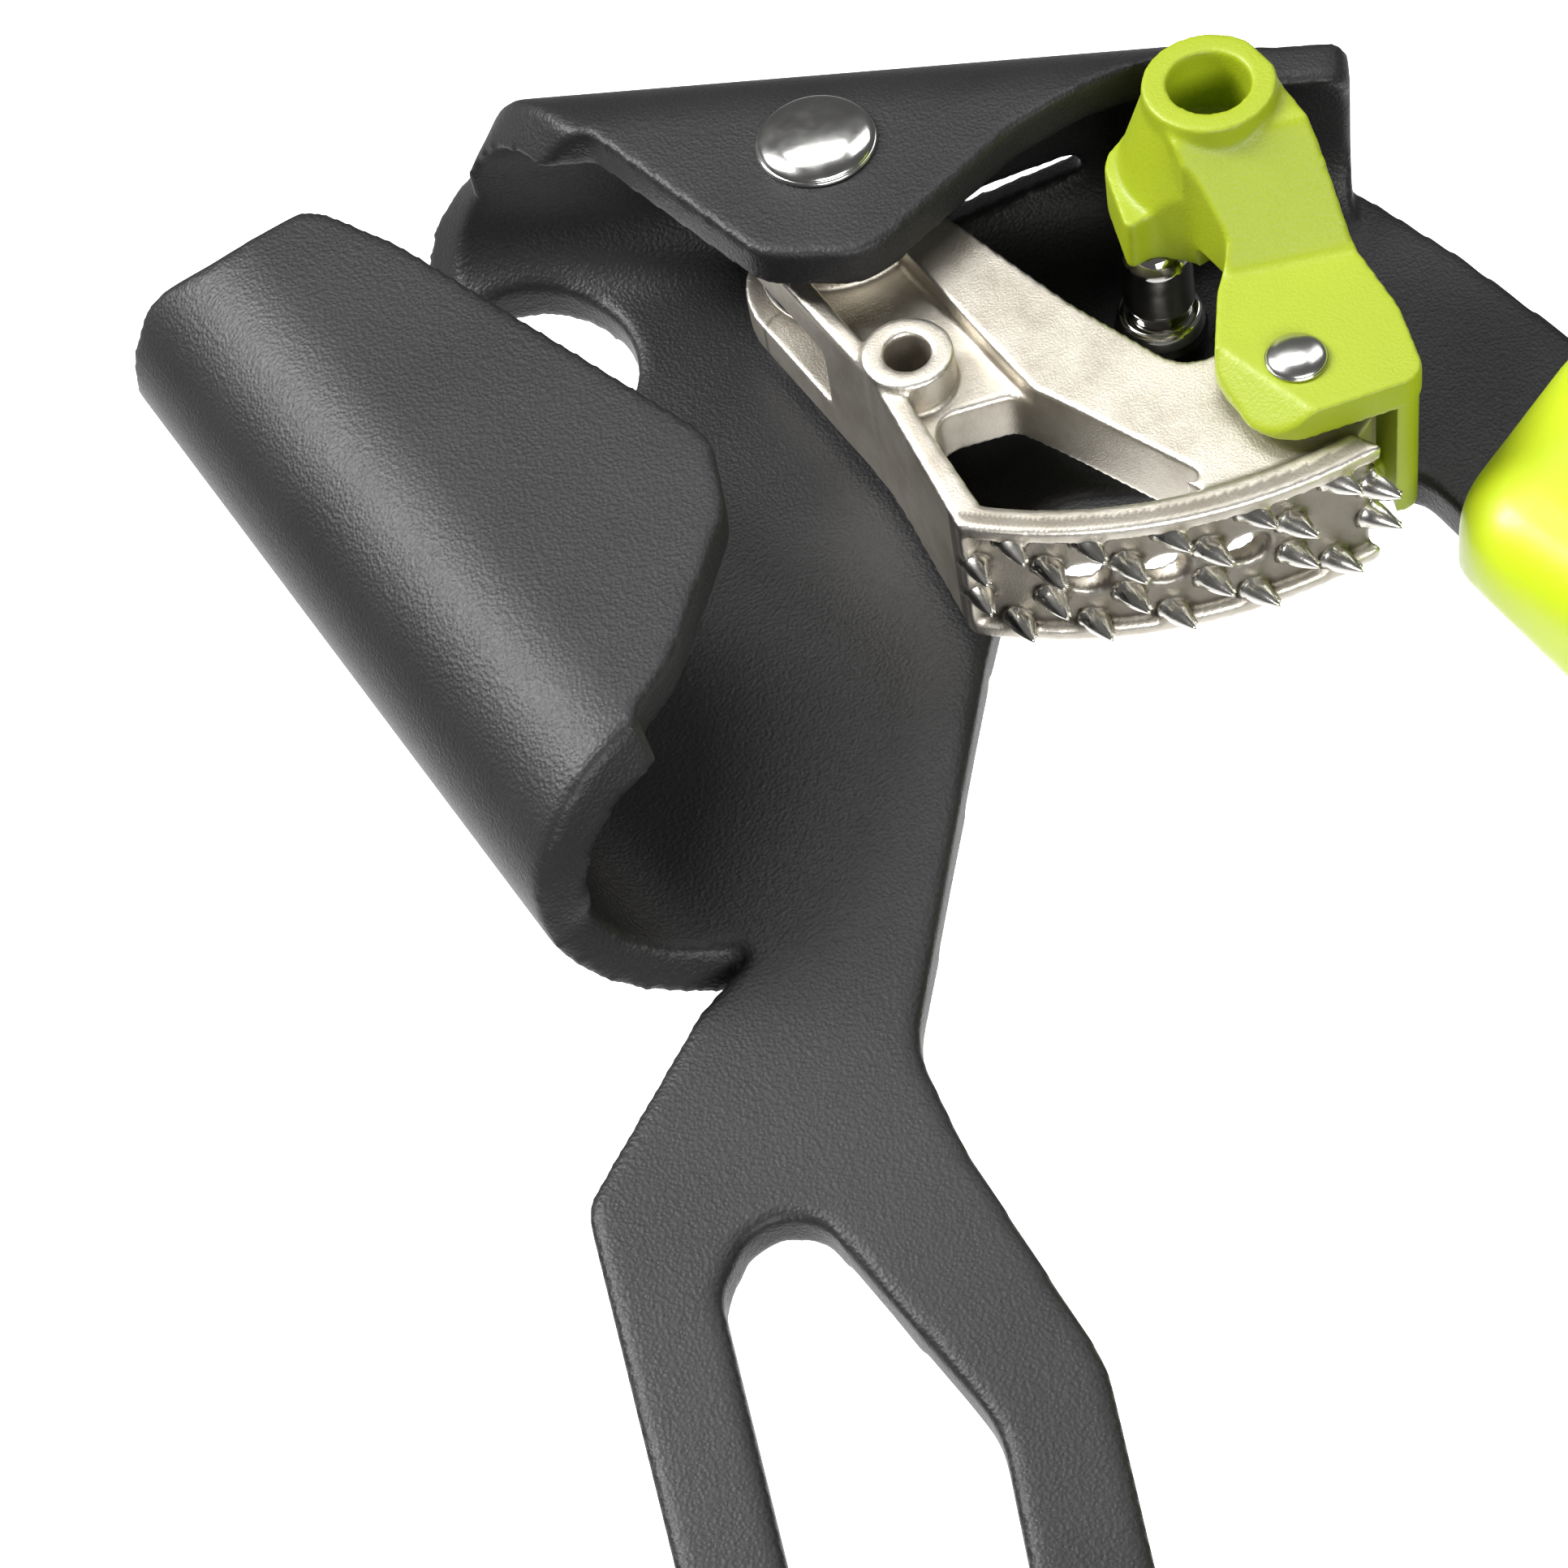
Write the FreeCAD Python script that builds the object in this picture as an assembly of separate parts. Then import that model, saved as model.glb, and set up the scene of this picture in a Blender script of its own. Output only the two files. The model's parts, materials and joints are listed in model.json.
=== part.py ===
"""Handled rope ascender, left-hand rope channel, cam held open by its trigger.

A folded aluminium frame carries a toothed cam on a riveted axle.  Every outline is
drawn from the cam axle, X towards the grip, Y up along the rope and Z out of the
front face; place() then moves each piece so that the row origin is the centre of
the carabiner hole on the frame's rear face.  Sizes are millimetres.
"""
import FreeCAD, Part
import math
import os

V = FreeCAD.Vector

# ---- overall sizes -------------------------------------------------------
BASE_DROP = 150.0       # cam axle to carabiner hole, along the rope
HOLE_OFFSET = 25.0      # cam axle to carabiner hole, across the rope
ARM_X = 29.0            # cam axle to the middle of the grip arm
WALL_X = 39.7           # cam axle to the inner wall of the rope channel

# ---- sheet and rope channel ----------------------------------------------
PLATE = 3.2             # sheet thickness
GAP = 13.8              # clear depth of the rope channel, for rope up to 13 mm
FOLD_R = 8.5            # outer radius of the bends that carry the axle tab
FOLD_TANGENT = 2.55     # where the fold starts, measured out from the axle
FOLD_ANGLE = -34.0      # direction of the fold line in plan, degrees
FOLD_FROM = -30.9       # the fold's left end, measured along it from the axle
FOLD_END_IN = 6.36      # the fold's right end, inside the arm's outer edge
BEND_SLOT_L = 11.0      # drain slot through the lower bend, beside the tab
BEND_SLOT_W = 1.3
BEND_SLOT_ALONG = 11.2  # its middle, along the fold from the axle
BEND_SLOT_RISE = 19.4   # its tilt up the bend, degrees
BEND_SLOT_TURN = -21.5  # its middle, round the bend from level, degrees

# ---- holes in the frame ----------------------------------------------------
CARABINER_R = 9.0
FOOT_LOOP_R = 6.5
HOLE_PITCH = 38.0       # carabiner hole to foot loop hole
TOP_HOLE_R = 7.9
TOP_HOLE_AT = (-20.2, 9.7)

# ---- axle stack ------------------------------------------------------------
SHANK_R = 2.2
BUSH_WALL = 1.4
FIT = 0.05              # radial running clearance
WASHER_R = 5.6
END_FLOAT = 0.1         # cam to washer
SIDE_GAP = 1.4          # cam to sheet
HEAD_R = 3.95
HEAD_H = 1.3
CLINCH_R = 4.0
CLINCH_T = 1.2

# ---- cam -------------------------------------------------------------------
RIM_R0 = 29.5           # rim radius at its narrow end
RIM_RISE = 0.325        # rim growth, mm for each degree
RIM_FROM = -107.5
RIM_TO = -69.3
RIM_T = 2.3
LIP = 0.8               # toothed face sits this far below the two lips
LIP_W = 1.1
HUB_R = 6.4
HUB_CLEAR = 0.4         # relief inside the bends, round the hub and washers
WEB_T = 3.8
WEB_DROP = 2.2          # front web below the cam's front face
ARM_DROP = 0.6
BOSS_AT = (-3.7, -15.1)
BOSS_R = 2.95
BOSS_BORE = 1.5
TOOTH_H = 2.6
TOOTH_R = 0.95
TOOTH_PITCH = 7.25       # degrees round the rim
DRAIN_R = 1.5

# ---- springs ---------------------------------------------------------------
SPRING_WIRE = 1.1
SPRING_ROOM = 0.2       # coil to pocket floor and roof
TRIGGER_WIRE = 0.7
TRIGGER_COIL_R = 2.25
TURN_PITCH = 0.9        # rise of a coil for each turn, in wires
TRIGGER_POCKET_R = 3.1
TRIGGER_POCKET_H = 3.0

# ---- trigger ---------------------------------------------------------------
PIVOT = (13.5, -32.4)
PIVOT_R = 1.25
PIVOT_HEAD_R = 1.95
CHEEK_T = 2.4
CHEEK_GAP = 0.4         # trigger cheek to cam arm
REAR_CHEEK_T = 1.9
KNOB_AT = (19.5, -15.9)
KNOB_R = 4.2
RAMP_TURN = -24.0       # direction of the ramp's foot in plan, degrees
CHAMFER_TURN = 10.0
KNOB_H = 9.2
KNOB_BORE = 2.6
KNOB_DEPTH = 5.0
PIN_CLEAR = 0.4         # trigger passes this far over the latch pin
HOOK_T = 1.6            # hook below the cheek, over the pin

# ---- latch pin -------------------------------------------------------------
PIN_AT = (15.1, -15.4)
PIN_R = 2.35
COLLAR_R = 2.95
COLLAR_T = 1.4
SPACER_R = 3.1
SPACER_T = 2.4

# ---- grip ------------------------------------------------------------------
ARM_W = 14.6
GRIP_SIDE = 4.6         # grip beyond the arm, each side
GRIP_TOP = -39.0
GRIP_FRONT = 12.0
GRIP_REAR = 4.2
SCREW_CLEAR = 0.05
GRIP_ROUND = 4.6        # front edge; the rear edge has GRIP_ROUND_REAR
GRIP_ROUND_REAR = 3.0
GRIP_LEAN = 28.0        # the finger side leans in towards the rear, degrees
SCREW_R = 1.5
SCREW_HEAD_R = 2.9
SCREW_HEAD_H = 1.8
NUT_AF = 5.5

# ---- worked out from the sizes above --------------------------------------
DEPTH = GAP + 2 * PLATE
ROLL_R = DEPTH / 2
ROLL_X = ROLL_R - PLATE - WALL_X
TAB_Z = PLATE + GAP
CAM_Z0 = PLATE + SIDE_GAP
CAM_Z1 = TAB_Z - SIDE_GAP
BUSH_R = SHANK_R + BUSH_WALL
BASE_Y = -BASE_DROP
HOLE_X = -HOLE_OFFSET
FOOT_X = HOLE_X + HOLE_PITCH
ARM_IN = ARM_X - ARM_W / 2
ARM_OUT = ARM_X + ARM_W / 2
FOLD_RAD = math.radians(FOLD_ANGLE)
FOLD_TO = (ARM_OUT - FOLD_END_IN + FOLD_TANGENT * math.sin(FOLD_RAD)) / math.cos(FOLD_RAD)
BOW_Y = (BASE_Y - 44.0) / 2          # height where the spine bows out furthest
CHEEK_Z0 = CAM_Z1 + CHEEK_GAP
CHEEK_Z1 = CHEEK_Z0 + CHEEK_T
REAR_Z0 = CAM_Z0 + 0.3              # trigger's rear cheek
PAD_Z0 = REAR_Z0 + REAR_CHEEK_T + 0.5   # cam's pad round the trigger pivot
PIN_Z1 = CHEEK_Z0 - HOOK_T - PIN_CLEAR
POCKET_Z0 = CAM_Z0 + 2.7            # return spring's pocket in the hub
POCKET_Z1 = CAM_Z1 - WEB_DROP - 1.0


def corner(a, b, c, r):
    """Tangent points and mid point of an arc of radius r that rounds corner b."""
    u = (a - b).normalize()
    w = (c - b).normalize()
    half = u.getAngle(w) / 2
    reach = r / math.tan(half)
    bis = (u + w).normalize()
    mid = b + bis * (r / math.sin(half) - r)
    return b + u * reach, mid, b + w * reach


def outline(points):
    """Closed wire through (x, y, r) corners, each rounded to its radius r."""
    pts = [V(p[0], p[1], 0) for p in points]
    n = len(pts)
    edges = []
    ends = []
    for i in range(n):
        r = points[i][2] if len(points[i]) > 2 else 0
        if r > 0:
            start, mid, end = corner(pts[i - 1], pts[i], pts[(i + 1) % n], r)
            ends.append((start, end, Part.Arc(start, mid, end).toShape()))
        else:
            ends.append((pts[i], pts[i], None))
    for i in range(n):
        start, end, arc = ends[i]
        if arc:
            edges.append(arc)
        nxt = ends[(i + 1) % n][0]
        if (nxt - end).Length > 1e-6:
            edges.append(Part.LineSegment(end, nxt).toShape())
    return Part.Wire(edges)


def slab(points, z0, z1):
    """Flat prism on a rounded outline, from height z0 to z1."""
    face = Part.Face(outline(points))
    face.translate(V(0, 0, z0))
    return face.extrude(V(0, 0, z1 - z0))


def rod(x, y, r, z0, z1):
    return Part.makeCylinder(r, z1 - z0, V(x, y, z0))


def ring(x, y, r_in, r_out, z0, z1):
    return rod(x, y, r_out, z0, z1).cut(rod(x, y, r_in, z0 - 1, z1 + 1))


def arc_xy(r, a0, a1, centre=(0, 0)):
    """Points of a circle's start, middle and end, as (x, y) pairs."""
    out = []
    for a in (a0, (a0 + a1) / 2, a1):
        t = math.radians(a)
        out.append((centre[0] + r * math.cos(t), centre[1] + r * math.sin(t)))
    return out


def sheet_section(r_out, x_c, z_c, a0, a1):
    """Curved strip of the sheet's thickness, in an XZ section at y = 0."""
    outer = [V(x, 0, z) for x, z in arc_xy(r_out, a0, a1, (x_c, z_c))]
    inner = [V(x, 0, z) for x, z in arc_xy(r_out - PLATE, a0, a1, (x_c, z_c))]
    edges = [Part.Arc(*outer).toShape(),
             Part.LineSegment(outer[2], inner[2]).toShape(),
             Part.Arc(inner[2], inner[1], inner[0]).toShape(),
             Part.LineSegment(inner[0], outer[0]).toShape()]
    return Part.Face(Part.Wire(edges))


def side_prism(points, reach):
    """Prism drawn in a side view: (along, height, r) corners, pushed along +X by reach."""
    face = Part.Face(outline(points))
    face.rotate(V(0, 0, 0), V(1, 1, 1), 120)
    return face.extrude(V(reach, 0, 0))


def beyond_edge(path, radius, z_low, z_high):
    """What lies past an edge of a sheet that is folded back over itself.

    The two bends have outer radius radius and centres at heights z_low and z_high over
    the X axis, and bulge along +Y.  path gives (turn, x) points of the edge: turn is 0
    where the upper bend begins and 180 where the lower one ends.
    """
    edges = []
    for r in (radius - PLATE - 1, radius + 1):
        points = []
        for turn, x in path:
            t = math.radians(turn)
            middle = z_high if turn < 90 else z_low
            points.append(V(x, r * math.sin(t), middle + r * math.cos(t)))
        curve = Part.BSplineCurve()
        curve.interpolate(points)
        edges.append(curve.toShape())
    return Part.makeRuledSurface(edges[0], edges[1]).extrude(V(-30, 0, 0))


# ---- frame -----------------------------------------------------------------
def fold_point(along, out):
    """Corner on the fold: a distance along the fold line and one square to it."""
    c = math.cos(FOLD_RAD)
    s = math.sin(FOLD_RAD)
    return (along * c - out * s, along * s + out * c, 0)


def finger_opening():
    """The hole for the fingers, between the spine and the grip arm."""
    return slab([(-28.1, -49.7, 7), (-8.6, -29.0, 5), (0.6, -20.4, 5),
                 (ARM_IN - 0.2, -34.3, 4), (ARM_IN, -60, 0),
                 (ARM_IN + 3.5, BASE_Y + 40, 10), (ARM_IN - 5, BASE_Y + 19, 12),
                 (HOLE_X + 4, BASE_Y + 19, 12), (HOLE_X - 12, BASE_Y + 31, 14),
                 (-41.5, BOW_Y, 20), (-31.0, -73.0, 8), (-29.6, -57.0, 8)],
                -1, PLATE + 1)


def spine_slot():
    """The long slot that splits the spine into two legs."""
    return slab([(-42.0, -53.6, 3.2), (-39.0, -56.0, 3.0), (-38.0, -72.6, 8),
                 (-48.5, BOW_Y + 1, 12), (-47.5, BASE_Y + 39, 3.2),
                 (-54.5, BASE_Y + 42, 3.2), (-58.5, BOW_Y + 2, 14),
                 (-52.1, -72.6, 10), (-46.2, -56.4, 3.0)],
                -1, PLATE + 1)


def flat_plate():
    """The sheet's flat part: head plate, spine, base and grip arm."""
    return slab([(ROLL_X, 25.4, 0), (-26.0, 25.4, 0), fold_point(FOLD_FROM, FOLD_TANGENT),
                 fold_point(FOLD_TO, FOLD_TANGENT), (ARM_OUT - 2.7, -13.0, 0),
                 (ARM_OUT - 1.1, -21.6, 12), (ARM_OUT + 4, -70, 30),
                 (ARM_OUT + 4.5, BASE_Y + 32, 24), (ARM_OUT - 6, BASE_Y - 5, 16),
                 (FOOT_X + 2, BASE_Y - 16, 12), (HOLE_X - 12, BASE_Y - 17, 16),
                 (HOLE_X - 20, BASE_Y + 8, 16), (-57.0, BASE_Y + 32, 18),
                 (-66.5, BOW_Y, 22), (-57.2, -69.0, 20), (-49.6, -47.0, 3),
                 (-37.2, -39.9, 1.2), (ROLL_X, -38.5, 0)],
                0, PLATE)


def rope_roll():
    """The rope channel's round back and its front flap."""
    y_low, y_high = -42.0, 27.0
    curve = sheet_section(ROLL_R, ROLL_X, ROLL_R, 90, 270)
    curve.translate(V(0, y_low, 0))
    tube = curve.extrude(V(0, y_high - y_low, 0))
    top = DEPTH + 1
    trim = side_prism([(y_low, -1, 0), (y_low, top, 0), (17.1, top, 0), (17.1, DEPTH - 0.6, 0),
                       (19.4, DEPTH - 3.0, 3), (20.0, 10.5, 6), (25.4, 3.0, 4), (25.4, -1, 0)], 40)
    trim.translate(V(ROLL_X - 20, 0, 0))
    low_edge = beyond_edge([(-1, -30.6), (60, -32.7), (120, -35.0), (181, -39.9)],
                           ROLL_R, ROLL_R, ROLL_R)
    low_edge.rotate(V(0, 0, 0), V(0, 0, 1), 90)
    low_edge.translate(V(ROLL_X, 0, 0))
    flap = slab([(ROLL_X, 17.1, 0), (-28.6, 17.1, 2.6), (-25.6, 10.6, 12), (-18.2, -15.9, 2.6),
                 (-20.6, -21.4, 5), (-29.2, -28.9, 9), (ROLL_X, -30.6, 0)],
                TAB_Z, DEPTH)
    return tube.common(trim).cut(low_edge).fuse(flap)


def along_fold(shape):
    """Turn a shape drawn with X along the fold line into place."""
    shape.rotate(V(0, 0, 0), V(0, 0, 1), FOLD_ANGLE)
    return shape


def axle_tab():
    """The sheet folded up and over the cam, ending in the tab that holds the axle."""
    left, right = FOLD_FROM - 1.0, FOLD_TO
    z_up = DEPTH - FOLD_R
    parts = []
    for z_c, a0, a1 in ((FOLD_R, 270, 360), (z_up, 0, 90)):
        parts.append(sheet_section(FOLD_R, FOLD_TANGENT, z_c, a0, a1))
    wall_x = FOLD_TANGENT + FOLD_R
    straight = Part.Face(Part.makePolygon([V(wall_x, 0, FOLD_R), V(wall_x, 0, z_up),
                                           V(wall_x - PLATE, 0, z_up), V(wall_x - PLATE, 0, FOLD_R),
                                           V(wall_x, 0, FOLD_R)]))
    parts.append(straight)
    solids = []
    for section in parts:
        section.rotate(V(0, 0, 0), V(0, 0, 1), 90)
        section.translate(V(left, 0, 0))
        solids.append(section.extrude(V(right - left, 0, 0)))
    bend = solids[0].fuse(solids[1:])
    top = DEPTH + 1
    keep = side_prism([(left, -1, 0), (left, top, 0), (22.0, top, 0), (23.0, DEPTH - 1.5, 6),
                       (27.0, 15.6, 8), (FOLD_TO, 15.4, 2), (FOLD_TO, -1, 0)], 60)
    keep.rotate(V(0, 0, 0), V(0, 0, 1), -90)
    keep.translate(V(0, 30, 0))
    left_edge = beyond_edge([(-1, -14.9), (27, -18.4), (54, -21.0), (80, -23.0), (100, -27.0),
                             (120, -29.8), (140, -30.8), (160, FOLD_FROM), (181, FOLD_FROM)],
                            FOLD_R, FOLD_R, z_up)
    left_edge.translate(V(0, FOLD_TANGENT, 0))
    tab = slab([(-15.0, FOLD_TANGENT, 0), (-3.6, -9.2, 4), (3.4, -9.8, 4),
                (12.6, 0.2, 8), (16.0, FOLD_TANGENT, 0)], TAB_Z, DEPTH)
    scoop = slab([(16.0, FOLD_TANGENT - 0.02, 0), (21.0, 5.4, 6), (27.0, 6.6, 6), (36.0, 6.8, 0),
                  (36.0, -2, 0), (15.0, -2, 0)], z_up + 1, top)
    body = bend.common(keep).cut([scoop, left_edge]).fuse(tab)
    half_l, half_w = BEND_SLOT_L / 2, BEND_SLOT_W / 2
    slot = slab([(-half_l, -half_w, 0.5), (half_l, -half_w, 0.5),
                 (half_l, half_w, 0.5), (-half_l, half_w, 0.5)], -PLATE, PLATE)
    slot.rotate(V(0, 0, 0), V(0, 0, 1), -BEND_SLOT_RISE)
    slot.rotate(V(0, 0, 0), V(1, 0, 0), BEND_SLOT_TURN - 90)
    turn = math.radians(BEND_SLOT_TURN)
    slot_r = FOLD_R - PLATE / 2
    slot.translate(V(BEND_SLOT_ALONG, FOLD_TANGENT + slot_r * math.cos(turn),
                     FOLD_R + slot_r * math.sin(turn)))
    return along_fold(body.cut(slot))


def frame_plate():
    body = flat_plate().fuse([rope_roll(), axle_tab()])
    cuts = [finger_opening(), spine_slot(),
            rod(HOLE_X, BASE_Y, CARABINER_R, -1, PLATE + 1),
            rod(FOOT_X, BASE_Y, FOOT_LOOP_R, -1, PLATE + 1),
            rod(TOP_HOLE_AT[0], TOP_HOLE_AT[1], TOP_HOLE_R, -1, FOLD_R),
            rod(0, 0, SHANK_R, -1, DEPTH + 1),
            rod(0, 0, CLINCH_R, -1, CLINCH_T),
            rod(0, 0, HUB_R + HUB_CLEAR, PLATE, TAB_Z),
            rod(PIN_AT[0], PIN_AT[1], 1.5, -1, PLATE + 1)]
    cuts += [rod(x, y, SCREW_R + SCREW_CLEAR, -1, PLATE + 1) for x, y in screw_points()]
    return body.cut(cuts).removeSplitter()


# ---- cam ---------------------------------------------------------------------
def rim_point(angle, inset=0.0):
    r = RIM_R0 + (angle - RIM_FROM) * RIM_RISE - inset
    t = math.radians(angle)
    return V(r * math.cos(t), r * math.sin(t), 0)


def rim_band(inset_out, inset_in, z0, z1):
    """Band of the spiral rim between two insets."""
    steps = 6
    angles = [RIM_FROM + (RIM_TO - RIM_FROM) * i / steps for i in range(steps + 1)]
    outer = Part.BSplineCurve()
    outer.interpolate([rim_point(a, inset_out) for a in angles])
    inner = Part.BSplineCurve()
    inner.interpolate([rim_point(a, inset_in) for a in reversed(angles)])
    edges = [outer.toShape(),
             Part.LineSegment(rim_point(RIM_TO, inset_out), rim_point(RIM_TO, inset_in)).toShape(),
             inner.toShape(),
             Part.LineSegment(rim_point(RIM_FROM, inset_in), rim_point(RIM_FROM, inset_out)).toShape()]
    face = Part.Face(Part.Wire(edges))
    face.translate(V(0, 0, z0))
    return face.extrude(V(0, 0, z1 - z0))


def cam_teeth():
    """Four rows of spikes, the inner two staggered from the outer two."""
    teeth = []
    middle = (CAM_Z0 + CAM_Z1) / 2
    outer = [RIM_FROM + 5.5 + TOOTH_PITCH * i for i in range(5)]
    inner = [RIM_FROM + 1.7 + TOOTH_PITCH * i for i in range(6)]
    for row_z, angles in ((-3.9, outer), (-1.5, inner), (1.5, inner), (3.9, outer)):
        for angle in angles:
            root = rim_point(angle, LIP + 0.4)
            root.z = middle + row_z
            radial = V(root.x, root.y, 0).normalize()
            lean = (radial + V(-radial.y, radial.x, 0) * 0.12).normalize()
            teeth.append(Part.makeCone(TOOTH_R, 0.15, TOOTH_H, root, lean))
    return teeth


def cam():
    web_z1 = CAM_Z1 - WEB_DROP
    web_z0 = web_z1 - WEB_T
    arm_z1 = CAM_Z1 - ARM_DROP
    end = rim_point(RIM_FROM)
    wall = slab([(-HUB_R, 0, 0), (-6.5, -9, 0), (-6.5, -15.3, 30), (end.x, end.y, 0),
                 (end.x + 2.0, end.y - 0.3, 0), (-5.2, -15.3, 30), (-5.0, -9, 0), (-4.6, 0, 0)],
                CAM_Z0, CAM_Z1)
    rim = rim_band(LIP, RIM_T, CAM_Z0, CAM_Z1)
    lips = [rim_band(0, RIM_T, CAM_Z0, CAM_Z0 + LIP_W), rim_band(0, RIM_T, CAM_Z1 - LIP_W, CAM_Z1)]
    web = slab([(-6.0, 0, 0), (4, 2, 0), (4.0, -7, 0), (2.0, -21.5, 0), (-6.3, -21.5, 0)],
               web_z0, web_z1)
    arm = slab([(1.5, 4.5, 0), (5.0, -5.0, 4), (7.1, -17.4, 20), (9.4, -26.2, 3),
                (PIVOT[0] + 4.0, -27.6, 3.5), (PIVOT[0] + 4.0, PIVOT[1] - 3.6, 3),
                (13.6, -37.6, 0), (5.0, -36.0, 0), (1.2, -24.0, 3), (1.2, -17.0, 8)],
               web_z0, arm_z1)
    ear_low = slab([(-HUB_R, 0, 0), (0, 0, 0), (0, -9.5, 0), (-6.2, -9.5, 0)], CAM_Z0, POCKET_Z0)
    hub = rod(0, 0, HUB_R, CAM_Z0, CAM_Z1)
    spine = rod(BOSS_AT[0], BOSS_AT[1], BOSS_R, web_z0, CAM_Z1 + 0.6)
    pivot_pad = rod(PIVOT[0], PIVOT[1], 4.2, PAD_Z0, arm_z1)
    body = wall.fuse([rim, web, arm, ear_low, hub, spine, pivot_pad] + lips)
    window = slab([(-5.9, -21.4, 1.2), (-4.2, -18.6, 1.6), (0.6, -20.2, 1.5), (1.9, -23.5, 3),
                   (5.6, -34.2, 0.5), (-0.4, -31.4, 20), (-6.4, -26.2, 0.8)], CAM_Z0 - 1, CAM_Z1 + 1)
    pocket = rod(0, 0, HUB_R - 0.6, POCKET_Z0, POCKET_Z1)
    mouth = slab([(-12, 6, 0), (0, 6, 0), (-1.0, -5.6, 0), (-5.4, -8.6, 0), (-12, -9.4, 0)],
                 POCKET_Z0, POCKET_Z1)
    drains = []
    for gap in (1.5, 2.5, 3.5):
        angle = RIM_FROM + 1.7 + TOOTH_PITCH * gap
        t = math.radians(angle)
        axis = V(math.cos(t), math.sin(t), 0)
        centre = rim_point(angle, RIM_T + 1)
        centre.z = (CAM_Z0 + CAM_Z1) / 2
        drains.append(Part.makeCone(DRAIN_R - 0.4, DRAIN_R, RIM_T + 1.4, centre, axis))
    cuts = [window, pocket, mouth, rod(0, 0, BUSH_R + FIT, 0, DEPTH),
            rod(BOSS_AT[0], BOSS_AT[1], BOSS_BORE, 0, DEPTH),
            rod(PIVOT[0], PIVOT[1], PIVOT_R, 0, DEPTH),
            rod(PIVOT[0], PIVOT[1], TRIGGER_POCKET_R, PAD_Z0 - 1, PAD_Z0 + TRIGGER_POCKET_H)] + drains
    return body.fuse(cam_teeth()).cut(cuts).removeSplitter()


# ---- axle stack ---------------------------------------------------------------
def dome(x, y, r, z, h):
    """Low domed head: the cap of a sphere, of base radius r and height h."""
    big = (r * r + h * h) / (2 * h)
    ball = Part.makeSphere(big, V(x, y, z + h - big))
    return ball.common(rod(x, y, r, z, z + h + 0.1))


def cam_axle():
    shank = rod(0, 0, SHANK_R, 0, DEPTH)
    skirt = rod(0, 0, HEAD_R, DEPTH, DEPTH + 0.35)
    return shank.fuse([skirt, dome(0, 0, HEAD_R, DEPTH + 0.35, HEAD_H - 0.35)]).removeSplitter()


def coil(x, y, mean_r, wire, z0, z1):
    """Close-wound coil that fills its pocket: rings, each pressed slightly into the next."""
    low = z0 + SPRING_ROOM + wire / 2
    high = z1 - SPRING_ROOM - wire / 2
    gaps = int((high - low) / (wire * TURN_PITCH))
    rings = []
    for i in range(gaps + 1):
        centre = V(x, y, low + i * wire * TURN_PITCH)
        rings.append(Part.makeTorus(mean_r, wire / 2, centre))
    return rings[0].fuse(rings[1:]).removeSplitter()


# ---- trigger --------------------------------------------------------------------
def trigger_outline():
    """Outline of the cheek and hook together, with the notch for the latch pin."""
    return [(13.2, -24.8, 1.0), (9.5, -29.4, 3), (8.9, -35.6, 3.4), (18.8, -38.4, 1.6),
            (20.9, -33.0, 6), (22.0, -26.5, 6), (23.5, -19.5, 4), (23.6, -12.0, 4),
            (19.5, -9.6, 3.4), (14.0, -11.4, 2.8), (11.6, -17.6, 0.6), (13.6, -17.2, 1.4),
            (15.4, -19.5, 2.5), (15.4, -23.0, 1.2)]


def trigger_knob():
    """The knob with its flared root, and the ramp that falls from it to the cheek."""
    x, y = KNOB_AT
    top = CHEEK_Z0 + KNOB_H
    root = Part.makeCone(KNOB_R + 2.6, KNOB_R + 0.1, KNOB_H - 1.5, V(x, y, CHEEK_Z0))
    knob = Part.makeCone(KNOB_R + 0.5, KNOB_R, KNOB_H, V(x, y, CHEEK_Z0))
    ramp = side_prism([(-9.8, CHEEK_Z0, 0), (-9.8, CHEEK_Z1, 0), (-3.6, top - 0.9, 1.2),
                       (2.0, top - 0.9, 0), (2.0, CHEEK_Z0, 0)], 16)
    ramp.translate(V(-8, 0, 0))
    ramp.rotate(V(0, 0, 0), V(0, 0, 1), RAMP_TURN)
    ramp.translate(V(x, y, 0))
    sides = slab([(x - 3.9, y + 1.0, 1), (14.2, -24.4, 0.6), (21.8, -29.0, 0.6),
                  (22.8, -23.0, 6), (x + 4.2, y, 3), (x, y + 4.0, 2)], CHEEK_Z0, top)
    inside = slab(trigger_outline(), CHEEK_Z0, top)
    return root.fuse([knob, ramp.common(sides)]).common(inside)


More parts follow.
